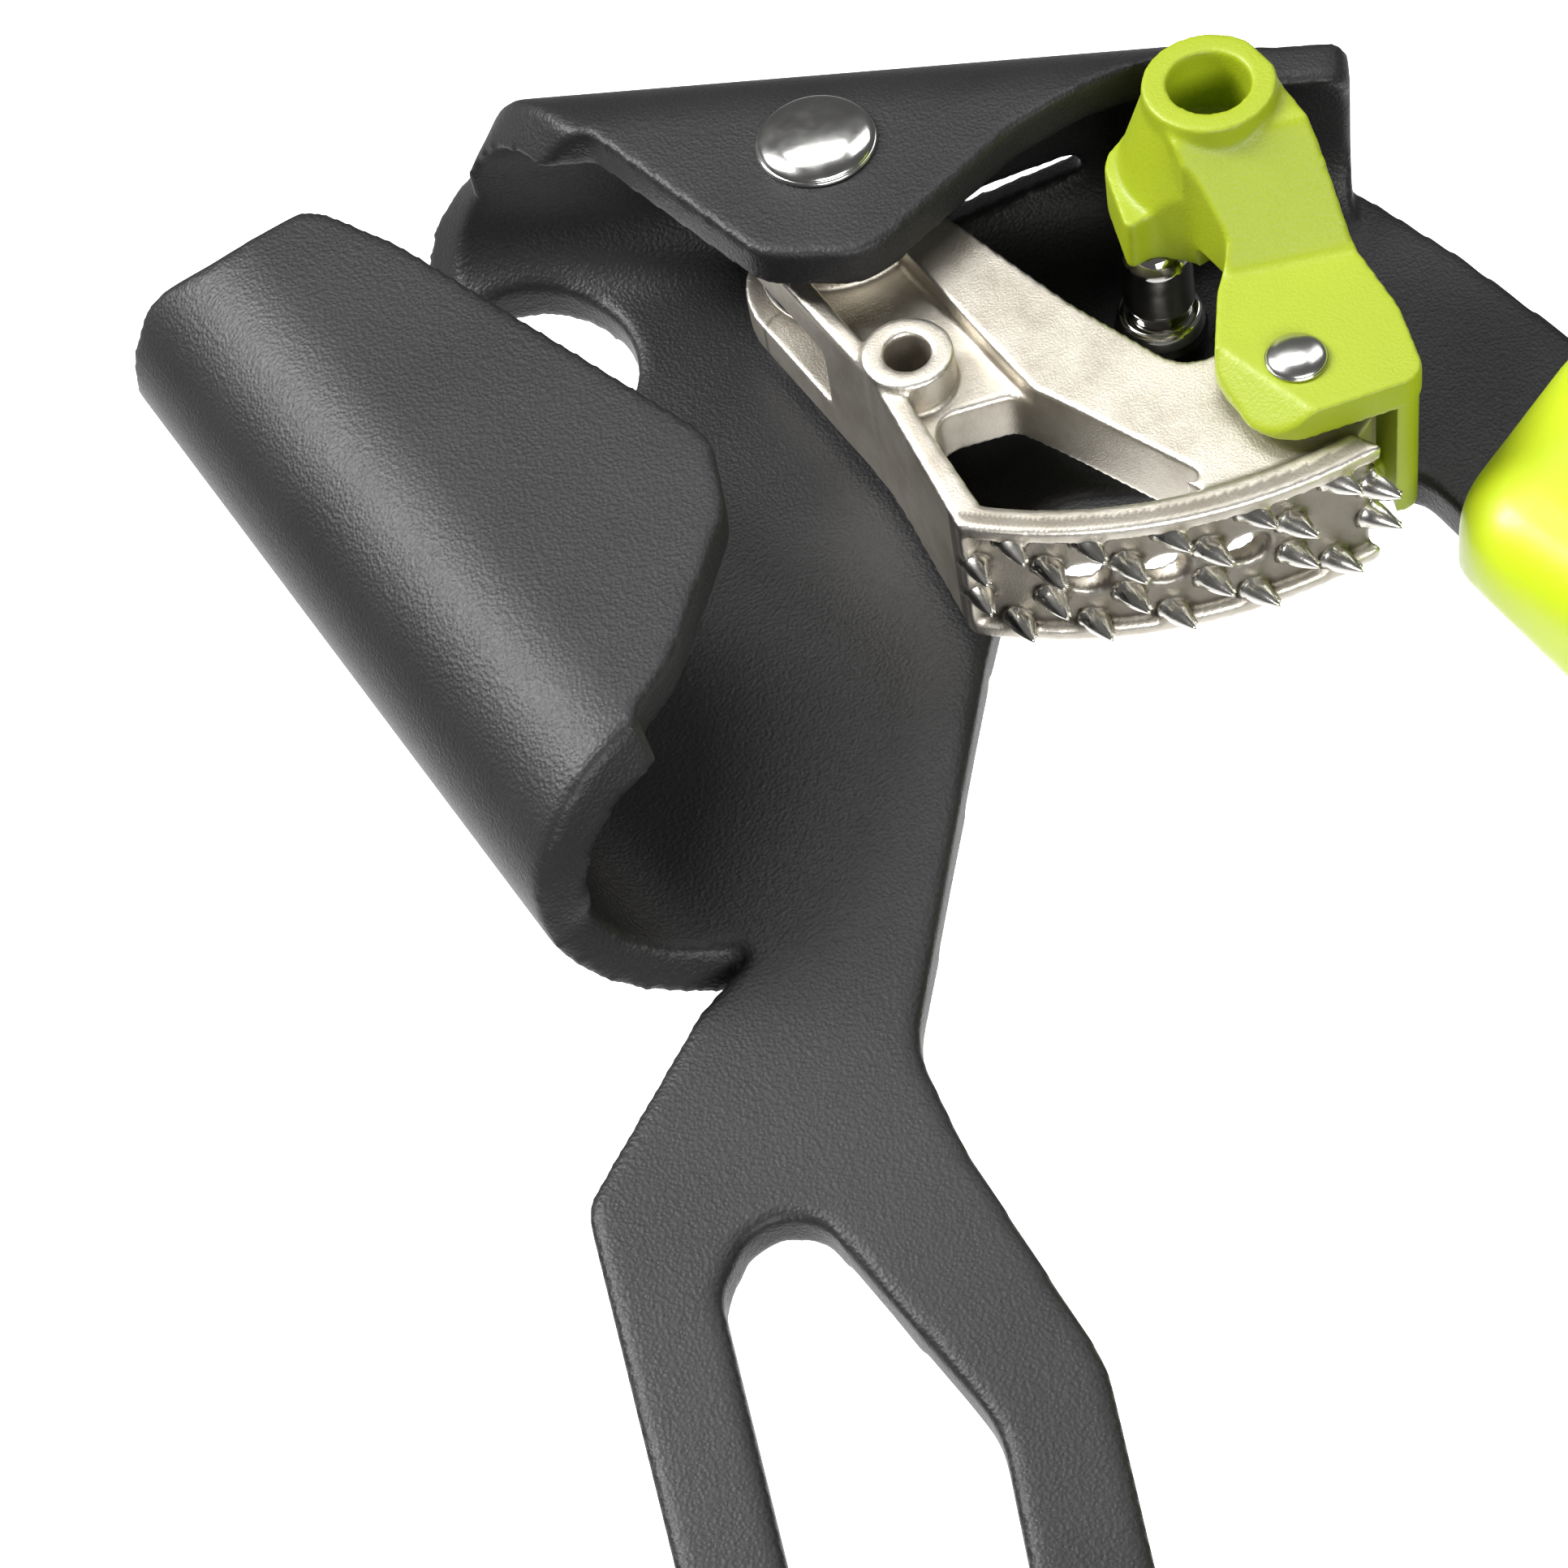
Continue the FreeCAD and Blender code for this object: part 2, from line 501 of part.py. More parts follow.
def trigger():
    low = PIN_Z1 + PIN_CLEAR
    cheek = slab(trigger_outline(), CHEEK_Z0, CHEEK_Z1)
    hook_side = slab([(8, -5, 0), (8, -19.8, 0), (26, -19.8, 0), (26, -5, 0)], low, CHEEK_Z0)
    hook = slab(trigger_outline(), low, CHEEK_Z0).common(hook_side)
    wall = slab([(17.4, -37.2, 0), (18.9, -38.0, 1.2), (20.9, -33.0, 4), (22.0, -25.5, 0),
                 (20.2, -25.5, 0), (19.5, -32.0, 3)], REAR_Z0, CHEEK_Z0)
    rear = slab([(PIVOT[0] - 3.0, -29.6, 2.6), (20.0, -29.0, 0), (19.8, -34.4, 0.5),
                 (PIVOT[0] + 1.5, -35.4, 2), (PIVOT[0] - 3.0, -35.0, 2.6)],
                REAR_Z0, REAR_Z0 + REAR_CHEEK_T)
    chamfer = Part.makeBox(8, 14, 8, V(-8, -14, 0))
    chamfer.rotate(V(0, 0, 0), V(0, 1, 0), -42)
    chamfer.rotate(V(0, 0, 0), V(0, 0, 1), CHAMFER_TURN)
    chamfer.translate(V(10.5, -28.6, CHEEK_Z1))
    body = cheek.fuse([hook, trigger_knob(), wall, rear])
    cuts = [rod(PIVOT[0], PIVOT[1], PIVOT_R + FIT, 0, DEPTH + 9),
            rod(KNOB_AT[0], KNOB_AT[1], KNOB_BORE, CHEEK_Z0 + KNOB_H - KNOB_DEPTH, DEPTH + 12),
            rim_band(-1.5, RIM_T + 0.9, CAM_Z0 - 1, CHEEK_Z0 - 0.1), chamfer]
    return body.cut(cuts).removeSplitter()


def trigger_rivet():
    head_z = CHEEK_Z1 + 0.05
    shank = rod(PIVOT[0], PIVOT[1], PIVOT_R, CAM_Z0, head_z)
    return shank.fuse(dome(PIVOT[0], PIVOT[1], PIVOT_HEAD_R, head_z, 0.8)).removeSplitter()


# ---- latch pin --------------------------------------------------------------------
def latch_pin():
    x, y = PIN_AT
    seat = PLATE + SPACER_T + COLLAR_T
    stem = rod(x, y, 1.5, 0.0, seat)
    neck = rod(x, y, PIN_R - 0.25, seat, seat + 1.2)
    body = rod(x, y, PIN_R, seat + 1.2, PIN_Z1 - PIN_R * 0.8)
    cap = dome(x, y, PIN_R, PIN_Z1 - PIN_R * 0.8, PIN_R * 0.8)
    dimple = Part.makeSphere(0.5, V(x, y, PIN_Z1 + 0.2))
    return stem.fuse([neck, body, cap]).cut(dimple).removeSplitter()


# ---- grip ----------------------------------------------------------------------------
def screw_points():
    low = BASE_Y + 34
    return [(ARM_X + 1.2, GRIP_TOP - 12), (ARM_X + 2.4, (GRIP_TOP + low) / 2), (ARM_X + 2.8, low)]


def grip_outline(side):
    """Grip outline, pushed out from the arm by side, with shallow finger hollows."""
    x_in = ARM_IN - side
    x_out = ARM_OUT + side
    low = BASE_Y + 24
    points = [(x_out - 3.2, GRIP_TOP + 5.0, 6), (x_out + 1.2, -70, 30), (x_out + 3.4, low + 24, 30),
              (x_out + 2.2, low, 9), (x_in + 4.0, low, 8)]
    hollows = 4
    first = low + 12.0
    pitch = (GRIP_TOP - 23.5 - first) / (hollows - 1)
    for i in range(hollows):
        points.append((x_in + 3.0, first + pitch * i, 8))
        if i < hollows - 1:
            points.append((x_in - 0.2, first + pitch * (i + 0.5), 8))
    points.append((x_in - 0.9, GRIP_TOP - 3.0, 6))
    return points


def finger_side():
    """What the lean takes off the grip's finger side."""
    x_in = ARM_IN - GRIP_SIDE - 0.9
    z_high = GRIP_FRONT - GRIP_ROUND
    z_low = -GRIP_REAR - 1
    x_low = x_in + (z_high - z_low) * math.tan(math.radians(GRIP_LEAN))
    face = Part.Face(Part.makePolygon([V(x_in - 6, BASE_Y, z_high), V(x_in, BASE_Y, z_high),
                                       V(x_low, BASE_Y, z_low), V(x_in - 6, BASE_Y, z_low),
                                       V(x_in - 6, BASE_Y, z_high)]))
    return face.extrude(V(0, GRIP_TOP + 20 - BASE_Y, 0))


def grip_shell(front):
    mid = PLATE / 2
    z0, z1 = (mid, GRIP_FRONT) if front else (-GRIP_REAR, mid)
    body = slab(grip_outline(GRIP_SIDE), z0, z1)
    face_z = z1 if front else z0
    rim = [e for e in body.Edges if abs(e.BoundBox.ZMin - face_z) < 1e-6
           and abs(e.BoundBox.ZMax - face_z) < 1e-6]
    body = body.makeFillet(GRIP_ROUND if front else GRIP_ROUND_REAR, rim)
    cuts = [flat_plate().cut(finger_opening()), finger_side()]
    for x, y in screw_points():
        cuts.append(rod(x, y, SCREW_R + SCREW_CLEAR, -GRIP_REAR - 1, GRIP_FRONT + 1))
        if front:
            cuts.append(hexagon(x, y, NUT_AF + 0.1, GRIP_FRONT - 4.6, GRIP_FRONT + 1))
        else:
            cuts.append(rod(x, y, SCREW_HEAD_R + 0.1, -GRIP_REAR - 1, -GRIP_REAR + SCREW_HEAD_H + 0.4))
    return body.cut(cuts)


def hexagon(x, y, across, z0, z1):
    r = across / math.sqrt(3)
    points = [(x + r * math.cos(math.radians(60 * i)), y + r * math.sin(math.radians(60 * i)))
              for i in range(6)]
    return slab(points, z0, z1)


def grip_screws():
    solids = []
    for x, y in screw_points():
        head = rod(x, y, SCREW_HEAD_R, -GRIP_REAR + 0.4, -GRIP_REAR + 0.4 + SCREW_HEAD_H)
        shank = rod(x, y, SCREW_R, -GRIP_REAR + 0.4, GRIP_FRONT - 1.8)
        socket = hexagon(x, y, 2.0, -GRIP_REAR, -GRIP_REAR + 1.5)
        solids.append(head.fuse(shank).cut(socket).removeSplitter())
    return Part.makeCompound(solids)


def grip_nuts():
    solids = []
    for x, y in screw_points():
        nut = hexagon(x, y, NUT_AF, GRIP_FRONT - 4.5, GRIP_FRONT - 2.1)
        solids.append(nut.cut(rod(x, y, SCREW_R + FIT, 0, GRIP_FRONT)))
    return Part.makeCompound(solids)


# ---- all the pieces ---------------------------------------------------------------------
def pieces():
    px, py = PIVOT
    lx, ly = PIN_AT
    spring_r = BUSH_R + 0.5 + SPRING_WIRE / 2
    collar_z = PLATE + SPACER_T
    return {
        "frame_plate": frame_plate(),
        "cam": cam(),
        "cam_axle": cam_axle(),
        "axle_clinch_washer": ring(0, 0, SHANK_R, CLINCH_R, 0, CLINCH_T),
        "cam_bush": ring(0, 0, SHANK_R, BUSH_R, PLATE, TAB_Z),
        "cam_washer_rear": ring(0, 0, BUSH_R, WASHER_R, PLATE, CAM_Z0 - END_FLOAT),
        "cam_washer_front": ring(0, 0, BUSH_R, WASHER_R, CAM_Z1 + END_FLOAT, TAB_Z),
        "cam_return_spring": coil(0, 0, spring_r, SPRING_WIRE, POCKET_Z0, POCKET_Z1),
        "trigger": trigger(),
        "trigger_rivet": trigger_rivet(),
        "trigger_washer": ring(px, py, PIVOT_R + FIT, 2.9, CHEEK_Z0 - 0.5, CHEEK_Z0),
        "trigger_spring": coil(px, py, TRIGGER_COIL_R, TRIGGER_WIRE, PAD_Z0,
                               PAD_Z0 + TRIGGER_POCKET_H),
        "latch_pin": latch_pin(),
        "latch_pin_collar": ring(lx, ly, 1.5, COLLAR_R, collar_z, collar_z + COLLAR_T),
        "latch_pin_spacer": ring(lx, ly, 1.5, SPACER_R, PLATE, collar_z),
        "grip_front_shell": grip_shell(True),
        "grip_rear_shell": grip_shell(False),
        "grip_screws": grip_screws(),
        "grip_nuts": grip_nuts(),
    }


def place(shape):
    shape.translate(V(HOLE_OFFSET, BASE_DROP, 0))
    return shape


def main():
    os.makedirs("parts", exist_ok=True)
    for name, shape in pieces().items():
        placed = place(shape.copy())
        print(name, placed.ShapeType, len(placed.Solids), round(placed.Volume, 1), placed.isValid())
        placed.exportStep("parts/" + name + ".step")


main()
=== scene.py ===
"""Looks of a handled rope ascender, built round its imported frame."""

import json
import math

import bmesh
import bpy
import numpy as np
from bpy.props import (BoolProperty, FloatProperty, FloatVectorProperty, IntProperty,
                       PointerProperty, StringProperty)
from mathutils import Matrix, Vector


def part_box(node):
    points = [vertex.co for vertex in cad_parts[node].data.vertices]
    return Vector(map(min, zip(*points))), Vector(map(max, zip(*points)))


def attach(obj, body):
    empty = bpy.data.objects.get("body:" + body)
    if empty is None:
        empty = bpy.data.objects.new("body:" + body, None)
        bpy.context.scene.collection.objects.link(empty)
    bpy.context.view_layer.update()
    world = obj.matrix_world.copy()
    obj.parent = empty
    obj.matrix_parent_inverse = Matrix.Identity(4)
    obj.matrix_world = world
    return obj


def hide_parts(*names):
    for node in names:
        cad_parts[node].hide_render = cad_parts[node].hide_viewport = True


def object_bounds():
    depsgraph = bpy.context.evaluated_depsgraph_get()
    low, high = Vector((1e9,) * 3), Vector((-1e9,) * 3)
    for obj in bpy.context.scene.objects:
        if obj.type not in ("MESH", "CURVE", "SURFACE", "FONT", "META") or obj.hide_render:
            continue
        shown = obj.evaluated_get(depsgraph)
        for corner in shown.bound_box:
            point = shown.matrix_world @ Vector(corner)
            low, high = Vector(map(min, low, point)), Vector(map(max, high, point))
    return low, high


bl_info = {
    "name": "Rope ascender",
    "version": (1, 0, 0),
    "blender": (4, 5, 0),
    "location": "View3D > Sidebar > Ascender",
    "description": "Builds the visible pieces of a handled rope ascender",
    "category": "Add Mesh",
}

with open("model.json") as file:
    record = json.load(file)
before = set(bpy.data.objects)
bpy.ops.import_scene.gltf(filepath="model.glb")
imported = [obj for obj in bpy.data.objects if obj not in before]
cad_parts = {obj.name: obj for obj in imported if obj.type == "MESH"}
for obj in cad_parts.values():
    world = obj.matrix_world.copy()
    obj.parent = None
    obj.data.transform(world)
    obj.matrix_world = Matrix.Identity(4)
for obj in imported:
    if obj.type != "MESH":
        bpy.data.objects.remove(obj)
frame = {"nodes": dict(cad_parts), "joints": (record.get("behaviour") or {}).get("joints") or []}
CAD_BOX = [list(corner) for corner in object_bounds()]
NODES = frame["nodes"]

AXLE = Vector(next(j for j in frame["joints"] if j["name"] == "cam_pivot")["pos_m"])

MM = 0.001

# Shanks, bores and heads that the nodes' boxes don't tell, in millimetres.
AXLE_R = 2.2
CAM_WASHER_BORE_R = 3.6
PIN_STEM_R = 1.5
TRIGGER_RIVET_R = 1.25
TRIGGER_RIVET_HEAD = 0.8
TRIGGER_WASHER_BORE_R = 1.3
SCREW_R = 1.5
SCREW_SOCKET_R = 0.9
SCREW_HEAD = 1.8
SCREW_THREAD = 6.0
THREAD_PITCH = 0.5
THREAD_ROOT_R = 1.28
NUT_BORE_R = 1.55
NUT_CHAMFER = 0.3

# Teeth in one outer and in one inner row, and the straight foot under each point.
OUTER_TEETH = 5
INNER_TEETH = 6
TOOTH_FOOT = 0.18
TOOTH_ROOTED = 0.35

# Name, place from the middle of the ascender and size in metres, and power in watts.
SOFTBOXES = (("left_softbox", (-0.30, 0.40, 0.46), (0.16, 0.36), 8.0),
             ("top_softbox", (0.10, 0.30, 0.62), (0.4, 0.2), 1.8),
             ("right_softbox", (0.45, 0.15, 0.45), (0.2, 0.4), 0.8),
             ("front_softbox", (-0.1, -0.5, 0.3), (0.5, 0.2), 4.0))


# ---- settings -------------------------------------------------------------------
def length(name, description, default, low=0.0):
    """A length property, shown in the scene's units and stored in metres."""
    return FloatProperty(name=name, description=description, default=default * MM,
                         min=low, unit="LENGTH", precision=5)


def hex_colour(name, description, default):
    """A colour property, as an sRGB hex code."""
    return StringProperty(name=name, description=description, default=default)


class FrameSettings(bpy.types.PropertyGroup):
    voxel: length("Mesh step", "Spacing of the rounded mesh", 0.42)
    round_steps: IntProperty(name="Rounding steps", default=7, min=0,
                             description="Passes that round the sheet's tumbled edges")
    faces: IntProperty(name="Faces", default=150000, min=1000,
                       description="Triangles that the plate keeps")
    grain: length("Grain", "Width of one pebble of the finish", 0.24)
    cloud: length("Fading", "Width of a faded patch", 14.0)
    rub: length("Rubbing", "Width of a rubbed patch on an edge", 3.0)
    colour: hex_colour("Colour", "Anodised black of the sheet", "#1b1b1c")
    faded: hex_colour("Faded colour", "The sheet's paler patches", "#232324")
    worn: hex_colour("Worn colour", "Where the finish has rubbed thin", "#5b5854")


class CamSettings(bpy.types.PropertyGroup):
    voxel: length("Mesh step", "Spacing of the cast mesh", 0.22)
    round_steps: IntProperty(name="Rounding steps", default=5, min=0,
                             description="Passes that soften the casting's edges")
    faces: IntProperty(name="Faces", default=170000, min=1000,
                       description="Triangles that the cam keeps")
    grain: length("Grain", "Width of one pit of the blasted skin", 0.16)
    stain: length("Stain", "Width of a stained patch", 3.5)
    colour: hex_colour("Colour", "Satin cast steel", "#cbc5b9")
    tint: hex_colour("Stain colour", "Heat tint left by the casting", "#9d9384")
    # Painted shade: the colour that darkens the cam's toothed face and its corners.
    recess_shade: hex_colour("Recess colour", "Scale left in the toothed face and corners", "#5f5a51")
    rubbed: hex_colour("Rubbed colour", "Where handling has polished the edges", "#e2dfd8")
    rim_start: FloatProperty(name="Rim start", default=math.radians(-107.5), subtype="ANGLE",
                             description="Direction of the rim's narrow end from the axle")
    rim_radius: length("Rim radius", "Rim radius at its narrow end", 29.5)
    rim_rise: length("Rim rise", "Growth of the rim radius for each radian", 0.325 * 180 / math.pi)
    lip: length("Lip height", "Height of the lips above the toothed face", 0.8)
    tooth_height: length("Tooth height", "Tooth above the toothed face", 2.35)
    tooth_radius: length("Tooth radius", "Radius of a tooth's foot", 0.9)
    tooth_pitch: FloatProperty(name="Tooth pitch", default=math.radians(7.25), subtype="ANGLE",
                               description="Angle between two teeth of one row")
    outer_first: FloatProperty(name="Outer rows start", default=math.radians(5.5),
                               subtype="ANGLE", description="First tooth of the outer rows")
    inner_first: FloatProperty(name="Inner rows start", default=math.radians(1.7),
                               subtype="ANGLE", description="First tooth of the inner rows")
    outer_row: length("Outer rows", "Outer rows' distance from the rim's middle", 3.9)
    inner_row: length("Inner rows", "Inner rows' distance from the rim's middle", 1.5)


class TriggerSettings(bpy.types.PropertyGroup):
    voxel: length("Mesh step", "Spacing of the moulded mesh", 0.2)
    round_steps: IntProperty(name="Rounding steps", default=10, min=0,
                             description="Passes that soften the moulding")
    faces: IntProperty(name="Faces", default=120000, min=1000,
                       description="Triangles that the trigger keeps")
    colour: hex_colour("Colour", "Lime nylon", "#8b9a10")
    # Painted shade: the colour that darkens the nylon in its corners.
    second: hex_colour("Second colour", "The nylon's paler patches", "#93a216")
    corner_shade: hex_colour("Deep colour", "The nylon in its corners", "#5f6b05")
    grain: length("Grain", "Width of one grain of the mould's texture", 0.22)


class GripSettings(bpy.types.PropertyGroup):
    voxel: length("Mesh step", "Spacing of the moulded mesh", 0.5)
    round_steps: IntProperty(name="Rounding steps", default=12, min=0,
                             description="Passes that soften the moulding")
    faces: IntProperty(name="Faces", default=70000, min=1000,
                       description="Triangles that one shell keeps")
    colour: hex_colour("Colour", "Bright lime elastomer", "#b0c41a")
    second: hex_colour("Second colour", "The elastomer's paler patches", "#bacb24")


class HardwareSettings(bpy.types.PropertyGroup):
    sides: IntProperty(name="Sides", default=96, min=16,
                       description="Segments round a turned piece")
    spring_wire: length("Return spring wire", "Wire of the cam's return spring", 1.1)
    trigger_wire: length("Trigger spring wire", "Wire of the trigger's spring", 0.7)
    steel: hex_colour("Steel", "Polished stainless steel", "#d9d8d5")
    wire: hex_colour("Wire", "Drawn spring steel", "#c9c8c6")
    oxide: hex_colour("Black oxide", "Blackened steel", "#232324")
    bronze: hex_colour("Bronze", "Sintered bush", "#9a7444")


class StageSettings(bpy.types.PropertyGroup):
    lens: FloatProperty(name="Lens", default=85.714, min=1.0, subtype="DISTANCE_CAMERA",
                        description="Focal length on a 36 mm sensor")
    camera: FloatVectorProperty(name="Camera", default=(-0.04969, -0.00245, 0.19324),
                                subtype="TRANSLATION", description="Where the camera stands")
    ahead: FloatVectorProperty(name="Looks along", default=(0.217647, 0.530678, -0.819152),
                               subtype="DIRECTION", description="The camera's line of sight")
    upward: FloatVectorProperty(name="Up", default=(0.510993, 0.653104, 0.558875),
                                subtype="DIRECTION", description="The camera's up direction")
    floor_drop: length("Floor drop", "Floor below the lowest point of the ascender", 300.0)
    glow_at: FloatVectorProperty(name="Glow centre", default=(0.085, 0.325, -0.3042),
                                 subtype="TRANSLATION", description="Middle of the lit patch")
    glow_reach: length("Glow reach", "Radius of the evenly lit patch", 250.0)
    floor: BoolProperty(name="Floor", default=True, description="Lay the pale floor")
    floor_colour: hex_colour("Floor colour", "White paper", "#f6f6f6")
    floor_glow: FloatProperty(name="Floor glow", default=1.1, min=0.0,
                              description="Light that the paper lets through from behind")
    sky: FloatProperty(name="Room light", default=0.1, min=0.0,
                       description="Even light from the room's walls")


# ---- nodes and materials -----------------------------------------------------------
def linear(code, alpha=1.0):
    """An sRGB hex colour as the linear values that shaders take."""
    values = [int(code[i:i + 2], 16) / 255 for i in (1, 3, 5)]
    return tuple(v / 12.92 if v <= 0.04045 else ((v + 0.055) / 1.055) ** 2.4
                 for v in values) + (alpha,)


def add_node(tree, kind, inputs=(), **settings):
    """Adds a node with its settings.  An input takes a value, a socket to link, or a node
    whose first output is linked."""
    node = tree.nodes.new(kind)
    node.location = (220 * (len(tree.nodes) % 12), -260 * (len(tree.nodes) // 12))
    for key, value in settings.items():
        setattr(node, key, value)
    for key, value in dict(inputs).items():
        if isinstance(value, bpy.types.Node):
            value = value.outputs[0]
        if isinstance(value, bpy.types.NodeSocket):
            tree.links.new(value, node.inputs[key])
        else:
            node.inputs[key].default_value = value
    return node


def new_material(name):
    """An empty material, its tree, and the piece's own coordinates to draw patterns in."""
    mat = bpy.data.materials.new(name)
    mat.use_nodes = True
    mat.node_tree.nodes.clear()
    where = add_node(mat.node_tree, "ShaderNodeTexCoord").outputs["Object"]
    return mat, mat.node_tree, where


def surfaced(mat, inputs):
    """Gives a material its one principled surface."""
    shader = add_node(mat.node_tree, "ShaderNodeBsdfPrincipled", inputs)
    add_node(mat.node_tree, "ShaderNodeOutputMaterial", {"Surface": shader})
    return mat


def anodised_aluminium(settings):
    """Hard anodised sheet over a blasted surface: a satin black with a pebbled grain that
    breaks the highlights up, paler on edges where the finish has rubbed thin."""
    mat, tree, where = new_material("anodised_aluminium_black")
    pebbles = add_node(tree, "ShaderNodeTexVoronoi",
                       {"Vector": where, "Scale": 1 / settings.grain, "Smoothness": 0.7},
                       feature="SMOOTH_F1")
    fine = add_node(tree, "ShaderNodeTexNoise",
                    {"Vector": where, "Scale": 2 / settings.grain, "Detail": 3.0,
                     "Roughness": 0.6})
    cloud = add_node(tree, "ShaderNodeTexNoise",
                     {"Vector": where, "Scale": 1 / settings.cloud, "Detail": 3.0})
    rubbing = add_node(tree, "ShaderNodeTexNoise",
                       {"Vector": where, "Scale": 1 / settings.rub, "Detail": 5.0,
                        "Roughness": 0.7})
    edge = add_node(tree, "ShaderNodeAttribute", attribute_name="edge").outputs["Fac"]
    on_edge = add_node(tree, "ShaderNodeMapRange",
                       {"Value": edge, "From Min": 0.3, "From Max": 0.95})
    in_patch = add_node(tree, "ShaderNodeMapRange",
                        {"Value": rubbing, "From Min": 0.5, "From Max": 0.68})
    worn = add_node(tree, "ShaderNodeMath", {0: on_edge, 1: in_patch}, operation="MULTIPLY")
    faded = add_node(tree, "ShaderNodeMapRange",
                     {"Value": cloud, "From Min": 0.35, "From Max": 0.65})
    base = add_node(tree, "ShaderNodeMix",
                    {0: faded, 6: linear(settings.colour), 7: linear(settings.faded)},
                    data_type="RGBA").outputs[2]
    colour = add_node(tree, "ShaderNodeMix", {0: worn, 6: base, 7: linear(settings.worn)},
                      data_type="RGBA").outputs[2]
    rough = add_node(tree, "ShaderNodeMapRange",
                     {"Value": fine, "From Min": 0.3, "From Max": 0.7, "To Min": 0.38,
                      "To Max": 0.56})
    fine_bump = add_node(tree, "ShaderNodeBump",
                         {"Height": fine, "Distance": 0.03 * MM, "Strength": 0.7})
    bump = add_node(tree, "ShaderNodeBump",
                    {"Height": pebbles, "Distance": 0.05 * MM, "Strength": 0.8,
                     "Normal": fine_bump})
    return surfaced(mat, {"Base Color": colour, "Specular IOR Level": 0.34,
                          "Roughness": rough, "Normal": bump})


def cast_stainless(settings):
    """Investment cast stainless steel, shot blasted: warm satin grey with a sandy skin,
    bright where edges are rubbed, darkened with painted shade in the recesses and on the toothed
    face, and stained near them."""
    mat, tree, where = new_material("cast_stainless_steel_blasted")
    sand = add_node(tree, "ShaderNodeTexNoise",
                    {"Vector": where, "Scale": 1 / settings.grain, "Detail": 3.0,
                     "Roughness": 0.65})
    cloud = add_node(tree, "ShaderNodeTexNoise",
                     {"Vector": where, "Scale": 1 / settings.stain, "Detail": 5.0,
                      "Roughness": 0.65})
    edge = add_node(tree, "ShaderNodeAttribute", attribute_name="edge").outputs["Fac"]
    hollow = add_node(tree, "ShaderNodeAttribute", attribute_name="hollow").outputs["Fac"]
    toothed = add_node(tree, "ShaderNodeAttribute", attribute_name="toothed").outputs["Fac"]
    # Painted shade: the concave corners and the toothed face are darkened towards the recess shade
    # colour.
    corners = add_node(tree, "ShaderNodeMapRange",
                       {"Value": hollow, "From Min": 0.06, "From Max": 0.7, "To Max": 0.85})
    toothed_shade = add_node(tree, "ShaderNodeMath", {0: toothed, 1: 0.7}, operation="MULTIPLY")
    shade = add_node(tree, "ShaderNodeMath", {0: corners, 1: toothed_shade}, operation="ADD",
                     use_clamp=True)
    stained = add_node(tree, "ShaderNodeMapRange",
                       {"Value": cloud, "From Min": 0.42, "From Max": 0.68, "To Max": 0.55})
    mottled = add_node(tree, "ShaderNodeMix",
                       {0: stained, 6: linear(settings.colour), 7: linear(settings.tint)},
                       data_type="RGBA").outputs[2]
    shaded_colour = add_node(tree, "ShaderNodeMix", {0: shade, 6: mottled, 7: linear(settings.recess_shade)},
                    data_type="RGBA").outputs[2]
    rubbed = add_node(tree, "ShaderNodeMapRange",
                      {"Value": edge, "From Min": 0.12, "From Max": 0.6, "To Max": 0.9})
    colour = add_node(tree, "ShaderNodeMix", {0: rubbed, 6: shaded_colour, 7: linear(settings.rubbed)},
                      data_type="RGBA").outputs[2]
    rough = add_node(tree, "ShaderNodeMapRange",
                     {"Value": edge, "From Min": 0.1, "From Max": 0.8, "To Min": 0.44,
                      "To Max": 0.26})
    bump = add_node(tree, "ShaderNodeBump",
                    {"Height": sand, "Distance": 0.04 * MM, "Strength": 0.8})
    return surfaced(mat, {"Base Color": colour, "Metallic": 1.0, "Roughness": rough,
                          "Normal": bump})


def bright_steel(name, colour, smooth, rough, mark, depth):
    """Stainless steel turned and polished, or wire drawn bright: a soft mirror, hazed in
    patches a millimetre or so wide, with tool marks of the given width and depth."""
    mat, tree, where = new_material(name)
    haze = add_node(tree, "ShaderNodeTexNoise",
                    {"Vector": where, "Scale": 1 / (1.4 * MM), "Detail": 3.0})
    marks = add_node(tree, "ShaderNodeTexNoise",
                     {"Vector": where, "Scale": 1 / mark, "Detail": 2.0})
    hazed = add_node(tree, "ShaderNodeMapRange",
                     {"Value": haze, "From Min": 0.35, "From Max": 0.7, "To Min": smooth,
                      "To Max": rough})
    bump = add_node(tree, "ShaderNodeBump", {"Height": marks, "Distance": depth})
    return surfaced(mat, {"Base Color": linear(colour), "Metallic": 1.0, "Roughness": hazed,
                          "Normal": bump})


def black_oxide(settings):
    """Black oxide on steel: a thin oily black that shows the metal's sheen."""
    mat, tree, where = new_material("black_oxide_steel")
    haze = add_node(tree, "ShaderNodeTexNoise",
                    {"Vector": where, "Scale": 1 / (0.9 * MM), "Detail": 3.0})
    rough = add_node(tree, "ShaderNodeMapRange",
                     {"Value": haze, "From Min": 0.3, "From Max": 0.7, "To Min": 0.28,
                      "To Max": 0.42})
    bump = add_node(tree, "ShaderNodeBump", {"Height": haze, "Distance": 0.004 * MM})
    return surfaced(mat, {"Base Color": linear(settings.oxide), "Metallic": 0.8,
                          "Roughness": rough, "Normal": bump})


